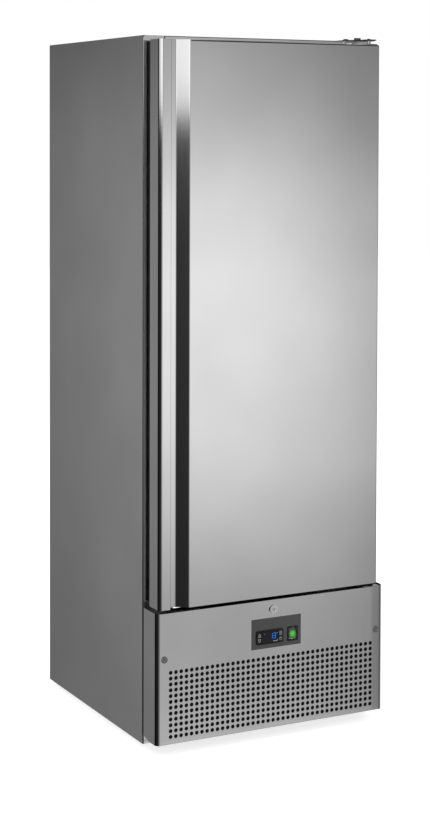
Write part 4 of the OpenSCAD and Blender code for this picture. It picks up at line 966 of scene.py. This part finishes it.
def hex_bolt(at, radius, height, washer_radius, way):
    out = Vector((0, -1, 0)) if way == "Y" else Vector((0, 0, 1))
    foot = Vector(at)
    washer_height = 0.0016
    buried = 0.0014
    disc = drum("washer", foot + out * (washer_height / 2), washer_radius, washer_height, way, 0.0004, 40)
    bpy.ops.mesh.primitive_cylinder_add(vertices=6, radius=radius, depth=height - buried,
                                        location=foot + out * (height + buried) / 2,
                                        rotation=turned[way])
    head = bpy.context.object
    bpy.ops.object.transform_apply(location=True, rotation=True, scale=True)
    face_at = foot + out * height
    edit(head)
    select_faces(head, lambda spot, way_out: (spot - face_at).length < 0.0002)
    bpy.ops.mesh.inset(thickness=radius * 0.16)
    bpy.ops.mesh.inset(thickness=radius * 0.04)
    bpy.ops.transform.translate(value=out * -0.0003)
    done(head)
    round_off(head, 0.0005, 2, 25)
    smooth_flats(head, 35)
    return merge("bolt", disc, head)


for reach, radius, height in ((-0.032, 0.0065, 0.0038), (0.005, 0.009, 0.0075)):
    bolt_at = (hinge_axis + reach, cabinet_face + 0.022, plate_top + 0.0025)
    bolts.append(hex_bolt(bolt_at, radius, height, radius + 0.0025, "Z"))
for reach in (-0.024, 0.014):
    bolt_at = (hinge_axis + reach, cabinet_face - 0.0025, bolts_foot + 0.006)
    bolts.append(hex_bolt(bolt_at, 0.006, 0.004, 0.0072, "Y"))
bolt_set = merge("hinge_bolt_set", *bolts)
settle(bolt_set, bolt_steel, "cabinet", "dark_bolt", "hinge_bolts")

# Cabinet shell
# The sides are stainless sheets with a folded front flange, and the top sheet and the rails of
# the front frame close them. The folds have a small bend radius.
side_low, side_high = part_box("side_panel_right")
rail_low, rail_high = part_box("top_rail")
side_x = side_high[0]
side_y = side_low[1]
inner_x = side_x - sheet_thickness


def outer_fold(a, b):
    return min(abs(a.x), abs(b.x)) > side_x - 1e-5 and max(a.y, b.y) < side_y + 1e-5


def inner_fold(a, b):
    beside = abs(abs(a.x) - inner_x) < 1e-5 and abs(abs(b.x) - inner_x) < 1e-5
    return beside and max(a.y, b.y) < side_y + 0.0011


def foam_fold(a, b):
    return min(abs(a.x), abs(b.x)) > side_x - 0.0011 and max(a.y, b.y) < side_y + 0.0011


for name in ("side_panel_left", "side_panel_right"):
    side = rounded_copy(name, name + "_sheet", 0.0004, 2, folds=((outer_fold, 0.0045), (inner_fold, 0.0035)))
    settle(side, cabinet_steel, "cabinet", "stainless", name)
settle(rounded_copy("bottom_rail", "bottom_rail_sheet", 0.0005, 2), cabinet_steel, "cabinet", "stainless",
       "bottom_rail")
foam_block = rounded_copy("cabinet_foam", "cabinet_foam_fill", 0.0003, 1, folds=((foam_fold, 0.0040),))
settle(foam_block, foam_fill, "cabinet", "foam", "cabinet_foam")
top_sheet = rounded_copy("top_panel", "top_sheet", 0.0003, 2)
for corner in top_sheet.data.vertices:
    corner.co.y = max(corner.co.y, rail_low[1] + 0.0026)
settle(top_sheet, cabinet_steel, "cabinet", "stainless", "top_panel")
front_rail = start_piece("top_rail_fold")
fit_box(front_rail, (rail_low[0] + 0.0028, rail_low[1], rail_low[2]),
        (rail_high[0] - 0.0028, rail_low[1] + 0.0027, rail_high[2]))
edit(front_rail)
select_faces(front_rail, lambda at, out: out.y > 0.9 or out.z < -0.9 or abs(out.x) > 0.9)
bpy.ops.mesh.delete(type="FACE")
select_edges(front_rail, lambda a, b: min(a.z, b.z) > rail_high[2] - 1e-5
             and max(a.y, b.y) < rail_low[1] + 1e-5)
bpy.ops.mesh.bevel(offset=0.0025, segments=8, affect="EDGES")
face_all()
done(front_rail)
apply(front_rail, "SOLIDIFY", thickness=sheet_thickness, offset=-1)
smooth_flats(front_rail, 35)
settle(front_rail, cabinet_steel, "cabinet", "stainless", "top_rail")
joints = []
for reach in (rail_low[0] - 0.0002, rail_high[0] - 0.0030):
    joints.append(start_piece("joint"))
    fit_box(joints[-1], (reach, rail_low[1] + 0.0005, rail_low[2] + 0.0005),
            (reach + 0.0032, rail_low[1] + 0.0026, rail_high[2] - 0.0009))
joint_set = merge("rail_joint_sealant", *joints)
round_off(joint_set, 0.0003, 2, 30)
smooth_flats(joint_set, 40)
settle(joint_set, seal_rubber, "cabinet", "seal")

# Back and base
# The back sheet, the base and the brackets are galvanised steel with a faint spangle. The back
# has a louvred grille for the compressor and an inlet for the mains lead.
spangle, zinc, zinc_skin = new_finish("galvanised steel")
zinc_skin.inputs["Metallic"].default_value = 1.0
zinc_place = zinc.nodes.new("ShaderNodeTexCoord")
zinc_cells = zinc.nodes.new("ShaderNodeTexVoronoi")
zinc_cells.inputs["Scale"].default_value = 110
zinc_cells.inputs["Randomness"].default_value = 1.0
zinc_tone = zinc.nodes.new("ShaderNodeSeparateColor")
zinc.links.new(zinc_place.outputs["Object"], zinc_cells.inputs["Vector"])
zinc.links.new(zinc_cells.outputs["Color"], zinc_tone.inputs[0])
zinc.links.new(blend_colour(zinc, zinc_tone.outputs[0], (0.40, 0.41, 0.42), (0.52, 0.53, 0.54)),
               zinc_skin.inputs["Base Color"])
zinc.links.new(spread(zinc, zinc_tone.outputs[1], 0.34, 0.50, 0.0, 1.0), zinc_skin.inputs["Roughness"])
for name in ("back_panel", "cover_brackets"):
    settle(rounded_copy(name, name + "_sheet", 0.0004, 2), spangle, "cabinet", "galvanised", name)
dress("rear_grille", spangle)
dress("base_plate", spangle)
case_plastic = coated("moulded black plastic", (0.014, 0.014, 0.015), (0.024, 0.024, 0.025), 0.40, 0.55,
                      1100, 0.3)
for name in ("power_inlet", "terminal_box", "drip_tray"):
    settle(rounded_copy(name, name + "_moulding", 0.0005, 2), case_plastic, "cabinet", "black_plastic", name)

# Condensing unit
# A black painted compressor on rubber mounts, a finned condenser with its shroud, motor and
# five-bladed fan, and brazed copper lines with a filter drier.
pot_paint = coated("compressor paint", (0.016, 0.016, 0.017), (0.028, 0.028, 0.030), 0.22, 0.36, 500,
                   0.35, 25)
pot = rounded_copy("compressor", "compressor_shell", 0.0025, 4)
settle(pot, pot_paint, "cabinet", "compressor_black", "compressor")
mount_rubber = coated("mount rubber", (0.020, 0.020, 0.020), (0.035, 0.035, 0.034), 0.65, 0.80, 700, 0.4)
mounts = rounded_copy("compressor_grommets", "compressor_mounts", 0.0009, 3)
settle(mounts, mount_rubber, "cabinet", "grommet", "compressor_grommets")
tarnish = coated("tarnished copper", (0.50, 0.20, 0.10), (0.78, 0.38, 0.22), 0.24, 0.40, 500, 0.15, 60, 1.0)
lines = rounded_copy("refrigerant_pipes", "copper_lines", 0.0002, 1, 60)
settle(lines, tarnish, "cabinet", "copper", "refrigerant_pipes")

fin_metal_and_gap_shade, fins, fins_skin = new_finish("aluminium fins")
fins_skin.inputs["Metallic"].default_value = 0.9
fins_place = fins.nodes.new("ShaderNodeTexCoord")
fin_ridges_and_gap_shade = fins.nodes.new("ShaderNodeTexWave")
fin_ridges_and_gap_shade.bands_direction = "X"
fin_ridges_and_gap_shade.inputs["Scale"].default_value = 130
fin_ridges_and_gap_shade.inputs["Distortion"].default_value = 0.6
fin_ridges_and_gap_shade.inputs["Detail Scale"].default_value = 0.4
fins_bump = fins.nodes.new("ShaderNodeBump")
fins_bump.inputs["Distance"].default_value = 0.0006
fins_bump.inputs["Strength"].default_value = 0.6
fins.links.new(fins_place.outputs["Object"], fin_ridges_and_gap_shade.inputs["Vector"])
fins.links.new(fin_ridges_and_gap_shade.outputs["Fac"], fins_bump.inputs["Height"])
fins.links.new(fins_bump.outputs[0], fins_skin.inputs["Normal"])
# The dark wave bands paint the shade in the gaps between fins; the same bands give the ridges in the bump.
fins.links.new(blend_colour(fins, fin_ridges_and_gap_shade.outputs["Fac"], (0.10, 0.10, 0.10), (0.55, 0.56, 0.57)),
               fins_skin.inputs["Base Color"])
fins.links.new(spread(fins, fin_ridges_and_gap_shade.outputs["Fac"], 0.6, 0.35, 0.0, 1.0), fins_skin.inputs["Roughness"])
for name in ("condenser_coil", "evaporator_coil"):
    dress(name, fin_metal_and_gap_shade)
shroud = rounded_copy("fan_shroud", "fan_shroud_sheet", 0.0004, 2)
settle(shroud, spangle, "cabinet", "galvanised", "fan_shroud")
motor_paint = coated("motor paint", (0.025, 0.026, 0.028), (0.040, 0.041, 0.044), 0.40, 0.55, 700, 0.3)
for name in ("condenser_fan_motor", "evaporator_fan_motor"):
    settle(rounded_copy(name, name + "_case", 0.0008, 3), motor_paint, "cabinet", "motor", name)
for name, plastic, slot in (("condenser_fan", case_plastic, "black_plastic"),
                            ("evaporator_fan", white_sheet, "white_liner")):
    settle(rounded_copy(name, name + "_blades", 0.0005, 2), plastic, name + "_body", slot, name)

# Storage space
# The liner is one white sheet, vacuum formed with coved corners. Slotted uprights in its
# corners carry clips, and four welded wire shelves with a white coat lie on them.
liner_low, liner_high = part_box("inner_liner")
liner = start_piece("formed_liner")
liner_wall = 0.002
fit_box(liner, [value + liner_wall for value in liner_low], [value - liner_wall for value in liner_high])
for corner in liner.data.vertices:
    if corner.co.y < 0:
        corner.co.y = liner_low[1]
edit(liner)
select_faces(liner, lambda at, out: out.y < -0.9)
bpy.ops.mesh.delete(type="FACE")
select_edges(liner, lambda a, b: True)
shape = bmesh.from_edit_mesh(liner.data)
for edge in shape.edges:
    edge.select_set(not edge.is_boundary)
bmesh.update_edit_mesh(liner.data)
bpy.ops.mesh.bevel(offset=0.018, segments=6, affect="EDGES")
face_all(inside=True)
done(liner)
apply(liner, "SOLIDIFY", thickness=liner_wall, offset=-1)
smooth_flats(liner, 40)
settle(liner, white_sheet, "cabinet", "white_liner", "inner_liner")

rail_steel = coated("rail steel", (0.58, 0.58, 0.58), (0.68, 0.68, 0.68), 0.24, 0.36, 700, 0.15, 50, 1.0)
for name in ("shelf_rails", "shelf_clips"):
    settle(rounded_copy(name, name + "_set", 0.0003, 1), rail_steel, "cabinet", "zinc", name)
wire_coat = coated("white wire coat", (0.70, 0.70, 0.69), (0.78, 0.78, 0.77), 0.26, 0.36, 900, 0.12, 30)
for number in range(1, 5):
    dress("wire_shelf_%d" % number, wire_coat)
dress("evaporator_cover", white_sheet)
dress("drain_tube", case_plastic)

# Feet
# Zinc plated levelling feet: a turned pad, a hexagon for the spanner and a threaded stud.
for place in ("front_left", "front_right", "rear_left", "rear_right"):
    dress("foot_" + place, zinc_plate)
